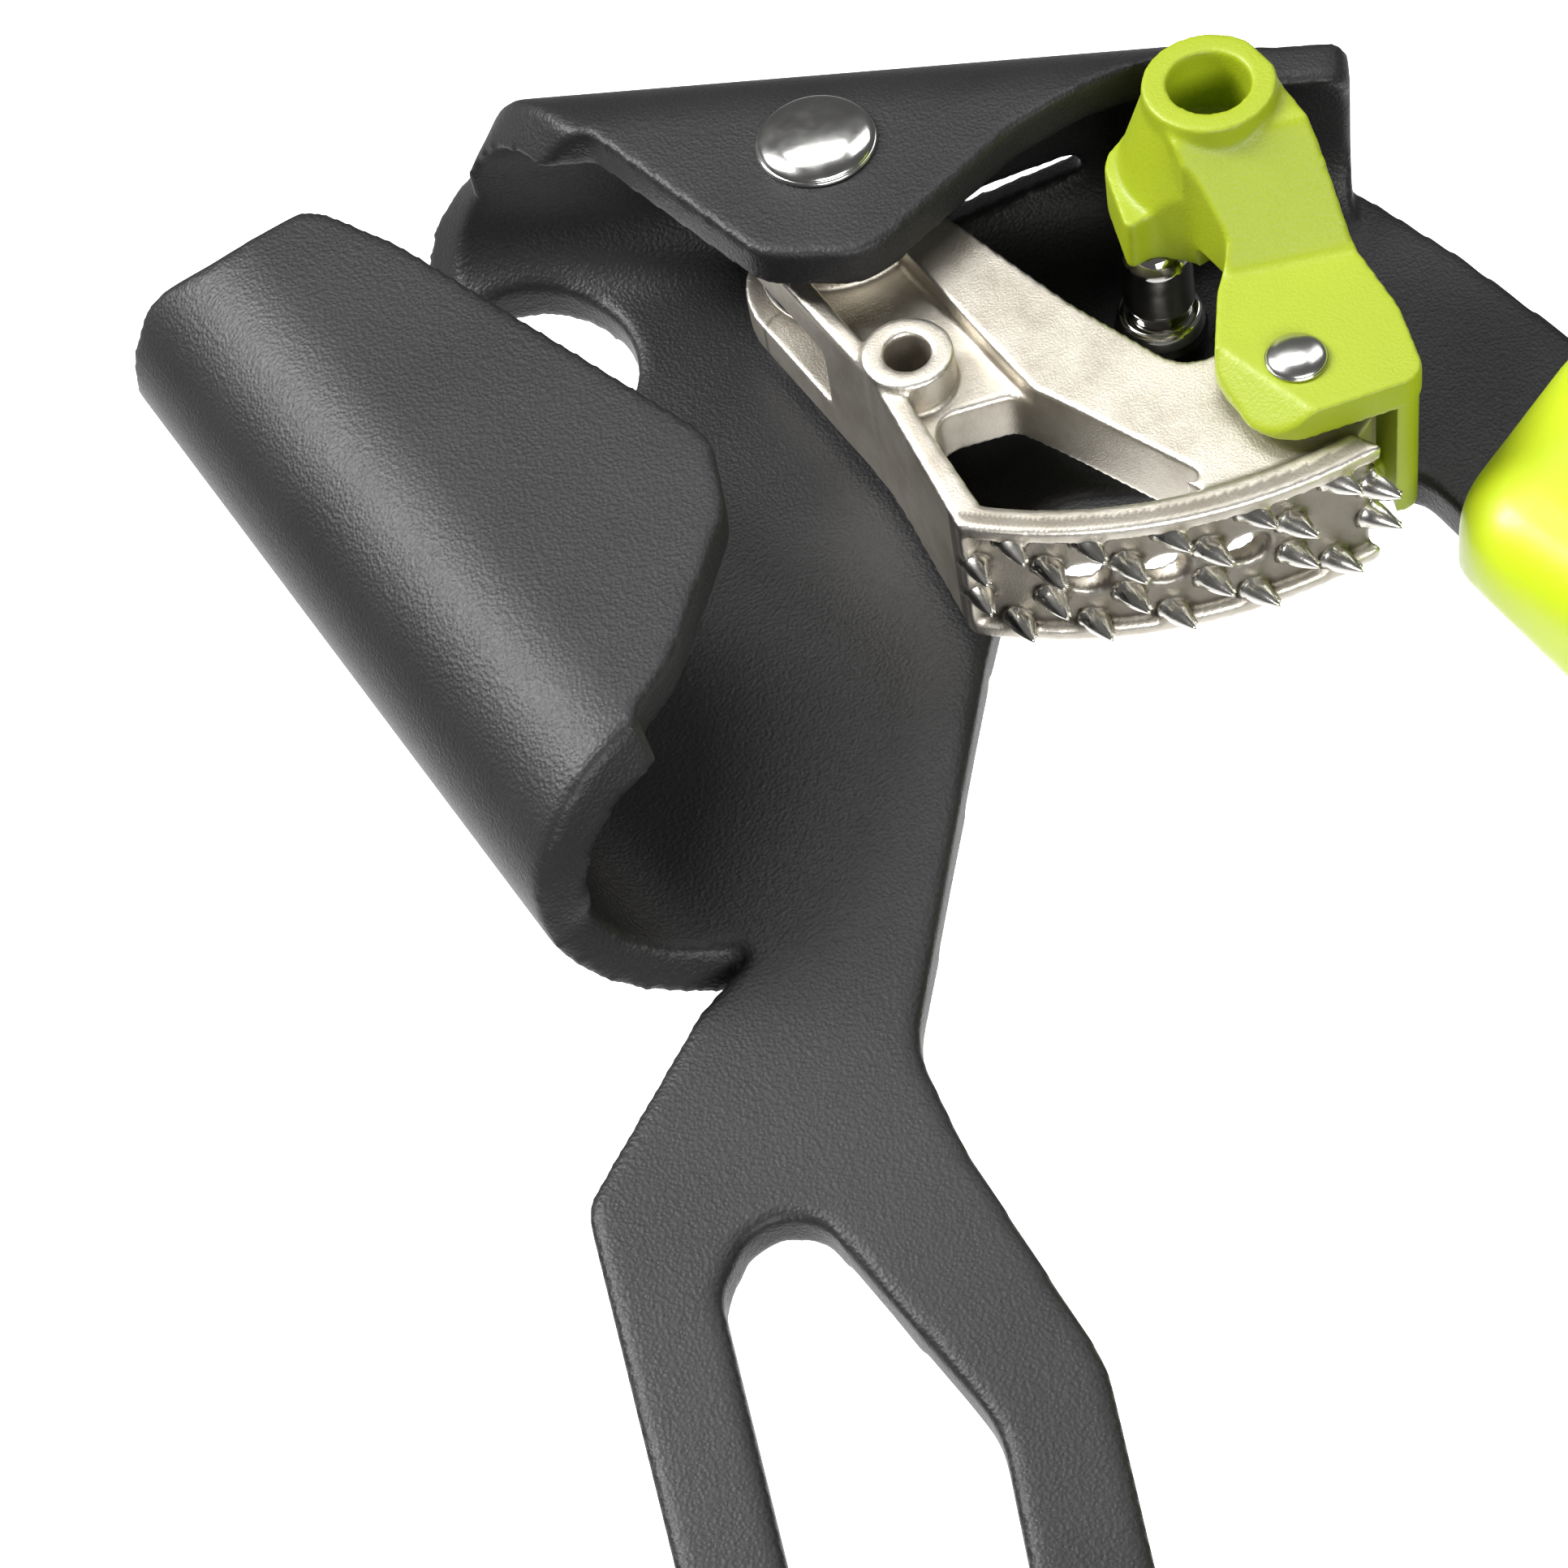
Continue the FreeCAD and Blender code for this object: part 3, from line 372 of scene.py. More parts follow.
def sintered_bronze(settings):
    """Sintered bronze bush: a dull, porous yellow brown."""
    mat, tree, where = new_material("sintered_bronze")
    pores = add_node(tree, "ShaderNodeTexNoise", {"Vector": where, "Scale": 1 / (0.15 * MM)})
    rough = add_node(tree, "ShaderNodeMapRange",
                     {"Value": pores, "From Min": 0.3, "From Max": 0.7, "To Min": 0.38,
                      "To Max": 0.55})
    bump = add_node(tree, "ShaderNodeBump", {"Height": pores, "Distance": 0.006 * MM})
    return surfaced(mat, {"Base Color": linear(settings.bronze), "Metallic": 1.0,
                          "Roughness": rough, "Normal": bump})


def moulded_nylon(settings):
    """Glass filled nylon from a spark-eroded mould: a matt lime with a fine even grain,
    darkened in its corners with painted shade."""
    mat, tree, where = new_material("moulded_nylon_lime")
    grain = add_node(tree, "ShaderNodeTexNoise",
                     {"Vector": where, "Scale": 1 / settings.grain, "Detail": 3.0,
                      "Roughness": 0.6})
    cloud = add_node(tree, "ShaderNodeTexNoise", {"Vector": where, "Scale": 1 / (5 * MM)})
    # Painted shade: the nylon is darkened towards the corner shade colour where the surface turns
    # inwards.
    hollow = add_node(tree, "ShaderNodeAttribute", attribute_name="hollow").outputs["Fac"]
    corner = add_node(tree, "ShaderNodeMapRange",
                      {"Value": hollow, "From Min": 0.08, "From Max": 0.7, "To Max": 0.6})
    patchy = add_node(tree, "ShaderNodeMapRange",
                      {"Value": cloud, "From Min": 0.3, "From Max": 0.7, "To Max": 0.4})
    base = add_node(tree, "ShaderNodeMix",
                    {0: patchy, 6: linear(settings.colour), 7: linear(settings.second)},
                    data_type="RGBA").outputs[2]
    colour = add_node(tree, "ShaderNodeMix", {0: corner, 6: base, 7: linear(settings.corner_shade)},
                      data_type="RGBA").outputs[2]
    rough = add_node(tree, "ShaderNodeMapRange",
                     {"Value": grain, "From Min": 0.3, "From Max": 0.7, "To Min": 0.4,
                      "To Max": 0.58})
    bump = add_node(tree, "ShaderNodeBump",
                    {"Height": grain, "Distance": 0.05 * MM, "Strength": 0.7})
    return surfaced(mat, {"Base Color": colour, "IOR": 1.53, "Roughness": rough,
                          "Normal": bump})


def moulded_elastomer(settings):
    """Soft thermoplastic elastomer: a brighter lime, smooth, with a broad soft sheen."""
    mat, tree, where = new_material("moulded_elastomer_lime")
    skin = add_node(tree, "ShaderNodeTexNoise",
                    {"Vector": where, "Scale": 1 / (0.5 * MM), "Detail": 3.0})
    cloud = add_node(tree, "ShaderNodeTexNoise", {"Vector": where, "Scale": 1 / (12 * MM)})
    patchy = add_node(tree, "ShaderNodeMapRange",
                      {"Value": cloud, "From Min": 0.3, "From Max": 0.7, "To Max": 0.5})
    colour = add_node(tree, "ShaderNodeMix",
                      {0: patchy, 6: linear(settings.colour), 7: linear(settings.second)},
                      data_type="RGBA").outputs[2]
    rough = add_node(tree, "ShaderNodeMapRange",
                     {"Value": skin, "From Min": 0.3, "From Max": 0.7, "To Min": 0.32,
                      "To Max": 0.42})
    bump = add_node(tree, "ShaderNodeBump",
                    {"Height": skin, "Distance": 0.012 * MM, "Strength": 0.5})
    return surfaced(mat, {"Base Color": colour, "IOR": 1.5, "Roughness": rough,
                          "Normal": bump})


def white_sweep(settings):
    """White paper sweep: matt, and lit from behind in one wide soft patch."""
    mat, tree, where = new_material("white_paper_sweep")
    away = add_node(tree, "ShaderNodeVectorMath", {0: where, 1: settings.glow_at},
                    operation="DISTANCE").outputs["Value"]
    glow = add_node(tree, "ShaderNodeMapRange",
                    {"Value": away, "From Min": settings.glow_reach,
                     "From Max": settings.glow_reach * 1.6, "To Min": settings.floor_glow,
                     "To Max": 0.0})
    fibres = add_node(tree, "ShaderNodeTexNoise",
                      {"Vector": where, "Scale": 1 / (2 * MM), "Detail": 3.0})
    rough = add_node(tree, "ShaderNodeMapRange",
                     {"Value": fibres, "From Min": 0.3, "From Max": 0.7, "To Min": 0.85,
                      "To Max": 0.95})
    return surfaced(mat, {"Base Color": linear(settings.floor_colour), "Roughness": rough,
                          "Emission Color": linear(settings.floor_colour),
                          "Emission Strength": glow})


# ---- meshes -----------------------------------------------------------------------------
def link_mesh(name, mesh):
    """A piece at the origin, with its place in its mesh."""
    piece = bpy.data.objects.new(name, mesh)
    bpy.context.scene.collection.objects.link(piece)
    return piece


def finish_piece(piece, body, material=None, replaces=()):
    """Smooth shading, material, and the CAD body and nodes that the piece goes with."""
    if material is not None:
        piece.data.materials.clear()
        piece.data.materials.append(material)
    piece.data.shade_smooth()
    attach(piece, body)
    if replaces:
        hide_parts(*replaces)
    return piece


def merged_copy(node, name):
    """A CAD node's mesh with its loose triangles joined, as a new piece."""
    mesh = NODES[node].data.copy()
    mesh.materials.clear()
    work = bmesh.new()
    work.from_mesh(mesh)
    bmesh.ops.remove_doubles(work, verts=work.verts, dist=0.0005 * MM)
    work.to_mesh(mesh)
    work.free()
    for extra in list(mesh.attributes):
        if extra.name in ("custom_normal", "sharp_edge", "sharp_face"):
            mesh.attributes.remove(extra)
    return link_mesh(name, mesh)


def baked(piece):
    """Replaces a piece's modifiers by the mesh that they make."""
    graph = bpy.context.evaluated_depsgraph_get()
    mesh = bpy.data.meshes.new_from_object(piece.evaluated_get(graph))
    old = piece.data
    piece.modifiers.clear()
    piece.data = mesh
    mesh.name = piece.name
    bpy.data.meshes.remove(old)
    return piece


def softened(node, name, settings):
    """A CAD node's shape with rounded edges: remeshed finely, relaxed, then thinned."""
    piece = merged_copy(node, name)
    remesh = piece.modifiers.new("even mesh", "REMESH")
    remesh.mode = "VOXEL"
    remesh.voxel_size = settings.voxel
    relax = piece.modifiers.new("rounded edges", "SMOOTH")
    relax.factor = 0.5
    relax.iterations = settings.round_steps
    baked(piece)
    triangles = sum(len(p.vertices) - 2 for p in piece.data.polygons)
    if triangles > settings.faces:
        thin = piece.modifiers.new("fewer faces", "DECIMATE")
        thin.ratio = settings.faces / triangles
        baked(piece)
    return piece


def mark_edges(piece, reach):
    """Stores from 0 to 1 how sharply the surface turns, outwards in edge and inwards in
    hollow, and returns the piece's points."""
    mesh = piece.data
    count = len(mesh.vertices)
    place = np.empty(count * 3)
    mesh.vertices.foreach_get("co", place)
    place = place.reshape(-1, 3)
    normal = np.empty(count * 3)
    mesh.vertex_normals.foreach_get("vector", normal)
    normal = normal.reshape(-1, 3)
    pairs = np.empty(len(mesh.edges) * 2, dtype=np.int64)
    mesh.edges.foreach_get("vertices", pairs)
    a, b = pairs.reshape(-1, 2).T
    along = place[b] - place[a]
    size = np.maximum((along ** 2).sum(1), 1e-14)
    turn = ((normal[b] - normal[a]) * along).sum(1) / size * reach
    weight = np.sqrt(size)
    total = np.zeros(count)
    share = np.zeros(count)
    for end in (a, b):
        np.add.at(total, end, turn * weight)
        np.add.at(share, end, weight)
    curve = total / np.maximum(share, 1e-12)
    for _ in range(2):
        spread_sum = np.zeros(count)
        touched = np.zeros(count)
        np.add.at(spread_sum, a, curve[b])
        np.add.at(spread_sum, b, curve[a])
        np.add.at(touched, a, 1)
        np.add.at(touched, b, 1)
        curve = 0.5 * curve + 0.5 * spread_sum / np.maximum(touched, 1)
    for name, value in (("edge", curve), ("hollow", -curve)):
        layer = mesh.attributes.new(name, "FLOAT", "POINT")
        layer.data.foreach_set("value", np.clip(value, 0, 1).astype(np.float32))
    return place


def lathe(name, profile, centre, sides):
    """A turned piece: (radius, height) points in millimetres, from its lowest to its highest
    point outside and back inside, turned round a vertical axis through centre."""
    work = bmesh.new()
    ring = []
    for radius, height in profile:
        ring.append(work.verts.new((centre.x + radius * MM, centre.y, height * MM)))
    closed = profile[0][0] > 0
    edges = [work.edges.new(pair) for pair in zip(ring, ring[1:])]
    if closed:
        edges.append(work.edges.new((ring[-1], ring[0])))
    bmesh.ops.spin(work, geom=ring + edges, cent=centre, axis=(0, 0, 1), dvec=(0, 0, 0),
                   angle=2 * math.pi, steps=sides, use_merge=True)
    bmesh.ops.remove_doubles(work, verts=work.verts, dist=0.0002 * MM)
    bmesh.ops.recalc_face_normals(work, faces=work.faces)
    mesh = bpy.data.meshes.new(name)
    work.to_mesh(mesh)
    work.free()
    return link_mesh(name, mesh)


def rounded_step(r0, z0, r1, z1, steps=6):
    """A quarter round from (r0, z0) to (r1, z1), bulging out and up."""
    points = []
    for i in range(steps + 1):
        t = math.pi / 2 * i / steps
        points.append((r1 + (r0 - r1) * math.cos(t), z0 + (z1 - z0) * math.sin(t)))
    return points


def dome_points(radius, base, height, steps=18):
    """A low dome from its rim to its crown."""
    points = []
    for i in range(steps + 1):
        t = math.pi / 2 * i / steps
        points.append((radius * math.cos(t) ** 0.92, base + height * math.sin(t) ** 1.12))
    points[-1] = (0.0, base + height)
    return points


def centre_of(node):
    """The middle of a node's box."""
    low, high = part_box(node)
    return (low + high) / 2


def solid_boxes(node):
    """The box of each separate solid of a node, lowest first along Y."""
    piece = merged_copy(node, "loose_solids")
    work = bmesh.new()
    work.from_mesh(piece.data)
    bpy.data.objects.remove(piece)
    boxes = []
    left = set(work.verts)
    while left:
        stack = [left.pop()]
        island = []
        while stack:
            vert = stack.pop()
            island.append(vert.co.copy())
            for edge in vert.link_edges:
                other = edge.other_vert(vert)
                if other in left:
                    left.discard(other)
                    stack.append(other)
        low = Vector([min(p[i] for p in island) for i in range(3)])
        high = Vector([max(p[i] for p in island) for i in range(3)])
        boxes.append((low, high))
    work.free()
    return sorted(boxes, key=lambda pair: pair[0].y)


# ---- geometry node trees ----------------------------------------------------------------
def node_group(name, sizes):
    """A geometry tree with a mesh input and named size inputs; returns it and its start."""
    tree = bpy.data.node_groups.new(name, "GeometryNodeTree")
    tree.interface.new_socket("Geometry", in_out="INPUT", socket_type="NodeSocketGeometry")
    for size, kind in sizes.items():
        tree.interface.new_socket(size, in_out="INPUT", socket_type=kind)
    tree.interface.new_socket("Geometry", in_out="OUTPUT", socket_type="NodeSocketGeometry")
    return tree, add_node(tree, "NodeGroupInput")


def close_group(tree, geometry, material):
    """Ends a tree in real meshes with their material."""
    real = add_node(tree, "GeometryNodeRealizeInstances", {"Geometry": geometry})
    painted = add_node(tree, "GeometryNodeSetMaterial", {"Geometry": real, "Material": material})
    add_node(tree, "NodeGroupOutput", {"Geometry": painted})


def grown(name, tree, values, mesh=None):
    """A piece made by a tree: its inputs are set by identifier, then it becomes a mesh."""
    piece = link_mesh(name, mesh or bpy.data.meshes.new(name))
    modifier = piece.modifiers.new(tree.name, "NODES")
    modifier.node_group = tree
    for item in tree.interface.items_tree:
        if item.in_out == "INPUT" and item.name in values:
            modifier[item.identifier] = values[item.name]
    baked(piece)
    if not piece.data.polygons:
        raise RuntimeError(name + " came out empty")
    return piece


def teeth_tree(tooth, material):
    """Rows of teeth along the spiral rim: each tooth stands square to the rim."""
    sizes = dict.fromkeys(("Rim start", "Rim radius", "Rim rise", "Pitch", "Outer first",
                           "Inner first", "Outer row", "Inner row"), "NodeSocketFloat")
    sizes.update({"Outer count": "NodeSocketInt", "Inner count": "NodeSocketInt",
                  "Axle": "NodeSocketVector"})
    tree, start = node_group("cam teeth", sizes)
    size = start.outputs
    shape = add_node(tree, "GeometryNodeObjectInfo", {"Object": tooth}).outputs["Geometry"]
    index = add_node(tree, "GeometryNodeInputIndex")
    rows = add_node(tree, "GeometryNodeJoinGeometry")
    for which, side in (("Outer", -1), ("Inner", -1), ("Inner", 1), ("Outer", 1)):
        line = add_node(tree, "GeometryNodeMeshLine", {"Count": size[which + " count"]})
        past = add_node(tree, "ShaderNodeMath",
                        {0: index, 1: size["Pitch"], 2: size[which + " first"]},
                        operation="MULTIPLY_ADD")
        angle = add_node(tree, "ShaderNodeMath", {0: past, 1: size["Rim start"]})
        radius = add_node(tree, "ShaderNodeMath",
                          {0: past, 1: size["Rim rise"], 2: size["Rim radius"]},
                          operation="MULTIPLY_ADD")
        east = add_node(tree, "ShaderNodeMath", {0: angle}, operation="COSINE")
        north = add_node(tree, "ShaderNodeMath", {0: angle}, operation="SINE")
        outward = add_node(tree, "ShaderNodeCombineXYZ", {0: east, 1: north})
        reach = add_node(tree, "ShaderNodeVectorMath", {0: outward, "Scale": radius},
                         operation="SCALE")
        height = add_node(tree, "ShaderNodeMath", {0: size[which + " row"], 1: side},
                          operation="MULTIPLY")
        lift = add_node(tree, "ShaderNodeCombineXYZ", {2: height})
        local = add_node(tree, "ShaderNodeVectorMath", {0: reach, 1: lift})
        place = add_node(tree, "ShaderNodeVectorMath", {0: local, 1: size["Axle"]})
        points = add_node(tree, "GeometryNodeSetPosition", {"Geometry": line, "Position": place})
        turned = add_node(tree, "FunctionNodeAlignRotationToVector", {"Vector": outward},
                          axis="Z")
        row = add_node(tree, "GeometryNodeInstanceOnPoints",
                       {"Points": points, "Instance": shape, "Rotation": turned})
        tree.links.new(row.outputs[0], rows.inputs[0])
    close_group(tree, rows, material)
    return tree


def coil_tree(material):
    """A close-wound coil: a round wire swept along a spiral."""
    sizes = dict.fromkeys(("Coil radius", "Wire radius", "Height", "Turns"), "NodeSocketFloat")
    sizes["Foot"] = "NodeSocketVector"
    tree, start = node_group("spring coil", sizes)
    size = start.outputs
    spiral = add_node(tree, "GeometryNodeCurveSpiral",
                      {"Resolution": 48, "Rotations": size["Turns"], "Height": size["Height"],
                       "Start Radius": size["Coil radius"], "End Radius": size["Coil radius"]})
    wire = add_node(tree, "GeometryNodeCurvePrimitiveCircle",
                    {"Resolution": 20, "Radius": size["Wire radius"]})
    swept = add_node(tree, "GeometryNodeCurveToMesh",
                     {"Curve": spiral, "Profile Curve": wire, "Fill Caps": True})
    placed = add_node(tree, "GeometryNodeTransform",
                      {"Geometry": swept, "Translation": size["Foot"]})
    close_group(tree, placed, material)
    return tree


def fastener_tree(shape, material):
    """The same fastener at every point of the input mesh."""
    tree, start = node_group("grip fasteners", {})
    part = add_node(tree, "GeometryNodeObjectInfo", {"Object": shape}).outputs["Geometry"]
    placed = add_node(tree, "GeometryNodeInstanceOnPoints",
                      {"Points": start, "Instance": part})
    close_group(tree, placed, material)
    return tree


# ---- operators ----------------------------------------------------------------------------
class ASCENDER_OT_frame_plate(bpy.types.Operator):
    """Round the folded sheet's edges and give it its anodised finish"""
    bl_idname = "ascender.frame_plate"
    bl_label = "Frame plate"

    def execute(self, context):
        settings = context.scene.ascender_frame
        piece = softened("frame_plate", "frame_sheet", settings)
        mark_edges(piece, 0.5 * MM)
        finish_piece(piece, "frame", anodised_aluminium(settings),
                     ["frame_plate"])
        return {"FINISHED"}


class ASCENDER_OT_cam(bpy.types.Operator):
    """Cast the cam: softened edges, painted shade in the recesses and on the toothed face"""
    bl_idname = "ascender.cam"
    bl_label = "Cam"

    def execute(self, context):
        settings = context.scene.ascender_cam
        piece = softened("cam", "cam_casting", settings)
        place = mark_edges(piece, 0.32 * MM)
        flat = place[:, :2] - np.array(AXLE.xy)
        angle = np.arctan2(flat[:, 1], flat[:, 0])
        rim = settings.rim_radius + (angle - settings.rim_start) * settings.rim_rise
        depth = rim - np.hypot(flat[:, 0], flat[:, 1])
        inside = np.clip((depth - 0.35 * settings.lip) / (0.4 * settings.lip), 0, 1)
        shallow = depth < settings.lip * 1.7
        toothed = np.where(shallow & (angle < 0), inside, 0)
        # The toothed mask marks the face between the lips, which the material darkens with painted
        # shade.
        layer = piece.data.attributes.new("toothed", "FLOAT", "POINT")
        layer.data.foreach_set("value", toothed.astype(np.float32))
        finish_piece(piece, "cam", cast_stainless(settings), ["cam"])
        return {"FINISHED"}


class ASCENDER_OT_cam_teeth(bpy.types.Operator):
    """Set the rows of polished teeth on the cam's rim"""
    bl_idname = "ascender.cam_teeth"
    bl_label = "Cam teeth"

    def execute(self, context):
        settings = context.scene.ascender_cam
        height = settings.tooth_height / MM
        foot = settings.tooth_radius / MM
        profile = [(0.0, -TOOTH_ROOTED), (foot * 1.3, -TOOTH_ROOTED), (foot * 1.12, 0.0),
                   (foot, TOOTH_FOOT)]
        for i in range(1, 9):
            t = i / 9
            profile.append((foot * (1 - t ** 1.5), TOOTH_FOOT + (height - TOOTH_FOOT) * t))
        profile.append((0.0, height))
        tooth = lathe("tooth", profile, Vector((0, 0, 0)), 20)
        tooth.data.shade_smooth()
        steel = bright_steel("cast_stainless_steel_tumbled", settings.rubbed, 0.2, 0.3,
                             0.2 * MM, 0.01 * MM)
        tree = teeth_tree(tooth, steel)
        values = {"Rim start": settings.rim_start,
                  "Rim radius": settings.rim_radius - settings.lip,
                  "Rim rise": settings.rim_rise, "Pitch": settings.tooth_pitch,
                  "Outer first": settings.outer_first, "Inner first": settings.inner_first,
                  "Outer row": settings.outer_row, "Inner row": settings.inner_row,
                  "Outer count": OUTER_TEETH, "Inner count": INNER_TEETH, "Axle": AXLE}
        piece = grown("cam_teeth", tree, values)
        bpy.data.objects.remove(tooth)
        finish_piece(piece, "cam")
        return {"FINISHED"}


class ASCENDER_OT_springs(bpy.types.Operator):
    """Wind the cam's return spring and the trigger's spring"""
    bl_idname = "ascender.springs"
    bl_label = "Springs"

    def execute(self, context):
        hardware = context.scene.ascender_hardware
        tree = coil_tree(bright_steel("drawn_spring_steel", hardware.wire, 0.16, 0.28,
                                      0.2 * MM, 0.004 * MM))
        for node, body, wire in (("cam_return_spring", "frame", hardware.spring_wire),
                                 ("trigger_spring", "cam", hardware.trigger_wire)):
            low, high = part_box(node)
            middle = (low + high) / 2
            rise = high.z - low.z - wire
            values = {"Coil radius": (high.x - low.x - wire) / 2, "Wire radius": wire / 2,
                      "Height": rise, "Turns": rise / (wire * 1.04),
                      "Foot": Vector((middle.x, middle.y, low.z + wire / 2))}
            piece = grown(node + "_wire", tree, values)
            finish_piece(piece, body, None, [node])
        return {"FINISHED"}


class ASCENDER_OT_axle_stack(bpy.types.Operator):
    """Turn the cam axle, its clinch ring, bush and washers"""
    bl_idname = "ascender.axle_stack"
    bl_label = "Axle stack"

    def execute(self, context):
        hardware = context.scene.ascender_hardware
        polished = bright_steel("polished_stainless_steel", hardware.steel, 0.14, 0.22,
                                0.12 * MM, 0.002 * MM)
        low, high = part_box("cam_axle")
        centre = (low + high) / 2
        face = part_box("frame_plate")[1].z / MM
        top = high.z / MM
        head = (high.x - low.x) / 2 / MM
        profile = [(0.0, 0.0), (AXLE_R, 0.0), (AXLE_R, face), (head - 0.12, face)]
        profile += rounded_step(head, face + 0.12, head - 0.15, face + 0.34)
        profile += dome_points(head - 0.15, face + 0.34, top - face - 0.34)[1:]
        rivet = lathe("axle_rivet", profile, centre, hardware.sides)
        finish_piece(rivet, "frame", polished, ["cam_axle"])
        bronze = sintered_bronze(hardware)
        for node, inner, material, slot in (
                ("axle_clinch_washer", AXLE_R, polished, "bright_steel"),
                ("cam_bush", AXLE_R, bronze, "bush_bronze"),
                ("cam_washer_rear", CAM_WASHER_BORE_R, polished, "bright_steel"),
                ("cam_washer_front", CAM_WASHER_BORE_R, polished, "bright_steel")):
            piece = plain_ring(node, inner, hardware.sides)
            finish_piece(piece, "frame", material, [node])
        return {"FINISHED"}


def plain_ring(node, inner, sides, chamfer=0.12):
    """A washer or bush with broken edges, in the place of its node."""
    low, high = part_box(node)
    outer = (high.x - low.x) / 2 / MM
    z0, z1 = low.z / MM, high.z / MM
    c = min(chamfer, (z1 - z0) / 4)
    profile = [(inner, z0), (outer - c, z0), (outer, z0 + c), (outer, z1 - c),
               (outer - c, z1), (inner, z1)]
    piece = lathe(node + "_turned", profile, centre_of(node), sides)
    edge = piece.modifiers.new("crisp faces", "EDGE_SPLIT")
    edge.split_angle = math.radians(30)
    return baked(piece)


class ASCENDER_OT_latch_pin(bpy.types.Operator):
    """Turn the latch pin with its collar and dark spacer"""
    bl_idname = "ascender.latch_pin"
    bl_label = "Latch pin"

    def execute(self, context):
        hardware = context.scene.ascender_hardware
        mirror = bright_steel("mirror_polished_stainless_steel", hardware.steel, 0.05, 0.12,
                              0.12 * MM, 0.001 * MM)
        low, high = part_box("latch_pin")
        centre = (low + high) / 2
        collar_low, collar_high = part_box("latch_pin_collar")
        seat = collar_high.z / MM
        top = high.z / MM
        radius = (high.x - low.x) / 2 / MM
        crown = radius * 0.85
        profile = [(0.0, 0.0), (PIN_STEM_R, 0.0), (PIN_STEM_R, seat), (radius - 0.35, seat),
                   (radius - 0.35, seat + 0.9)]
        profile += rounded_step(radius, seat + 1.15, radius - 0.02, seat + 1.4, 3)
        profile += dome_points(radius, top - crown, crown)
        dimple = [(r, z) for r, z in profile if r > 0.55 or z < top - crown]
        dimple += [(0.5, top - 0.1), (0.42, top - 0.2), (0.2, top - 0.3), (0.0, top - 0.32)]
        pin = lathe("latch_pin_turned", dimple, centre, hardware.sides)
        finish_piece(pin, "frame", mirror, ["latch_pin"])
        z0, z1 = collar_low.z / MM, collar_high.z / MM
        outer = (collar_high.x - collar_low.x) / 2 / MM
        profile = [(PIN_STEM_R, z0), (outer - 0.1, z0)]
        profile += rounded_step(outer, z0 + 0.15, outer - 0.45, z1, 8)
        profile.append((PIN_STEM_R, z1))
        collar = lathe("latch_pin_collar_turned", profile, centre_of("latch_pin_collar"),
                       hardware.sides)
        finish_piece(collar, "frame", mirror, ["latch_pin_collar"])
        spacer = plain_ring("latch_pin_spacer", PIN_STEM_R, hardware.sides, 0.4)
        finish_piece(spacer, "frame", black_oxide(hardware), ["latch_pin_spacer"])
        return {"FINISHED"}


class ASCENDER_OT_trigger(bpy.types.Operator):
    """Mould the trigger, with its knob, saddle, hook and cheek"""
    bl_idname = "ascender.trigger"
    bl_label = "Trigger"

    def execute(self, context):
        settings = context.scene.ascender_trigger
        piece = softened("trigger", "trigger_moulding", settings)
        mark_edges(piece, 0.4 * MM)
        finish_piece(piece, "trigger", moulded_nylon(settings), ["trigger"])
        return {"FINISHED"}


class ASCENDER_OT_trigger_rivet(bpy.types.Operator):
    """Turn the trigger's rivet and washer"""
    bl_idname = "ascender.trigger_rivet"
    bl_label = "Trigger rivet"

    def execute(self, context):
        hardware = context.scene.ascender_hardware
        polished = bright_steel("tumbled_stainless_steel", hardware.steel, 0.18, 0.26,
                                0.12 * MM, 0.002 * MM)
        low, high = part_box("trigger_rivet")
        centre = (low + high) / 2
        head = (high.x - low.x) / 2 / MM
        top = high.z / MM
        face = top - TRIGGER_RIVET_HEAD
        foot = low.z / MM
        profile = [(0.0, foot), (TRIGGER_RIVET_R, foot), (TRIGGER_RIVET_R, face),
                   (head - 0.1, face)]
        profile += rounded_step(head, face + 0.08, head - 0.08, face + 0.2, 4)
        profile += dome_points(head - 0.08, face + 0.2, top - face - 0.2)[1:]
        rivet = lathe("trigger_rivet_turned", profile, centre, hardware.sides)
        finish_piece(rivet, "cam", polished, ["trigger_rivet"])
        washer = plain_ring("trigger_washer", TRIGGER_WASHER_BORE_R, hardware.sides, 0.08)
        finish_piece(washer, "trigger", polished, ["trigger_washer"])
        return {"FINISHED"}


class ASCENDER_OT_grip(bpy.types.Operator):
    """Mould the grip's two shells"""
    bl_idname = "ascender.grip"
    bl_label = "Grip"

    def execute(self, context):
        settings = context.scene.ascender_grip
        lime = moulded_elastomer(settings)
        for node, name in (("grip_front_shell", "grip_front_moulding"),
                           ("grip_rear_shell", "grip_rear_moulding")):
            piece = softened(node, name, settings)
            finish_piece(piece, "frame", lime, [node])
        return {"FINISHED"}


def circle_points(radius, z, count):
    """Points evenly round the origin, in millimetres."""
    turns = [2 * math.pi * i / count for i in range(count)]
    return [Vector((radius * math.cos(turn), radius * math.sin(turn), z)) for turn in turns]


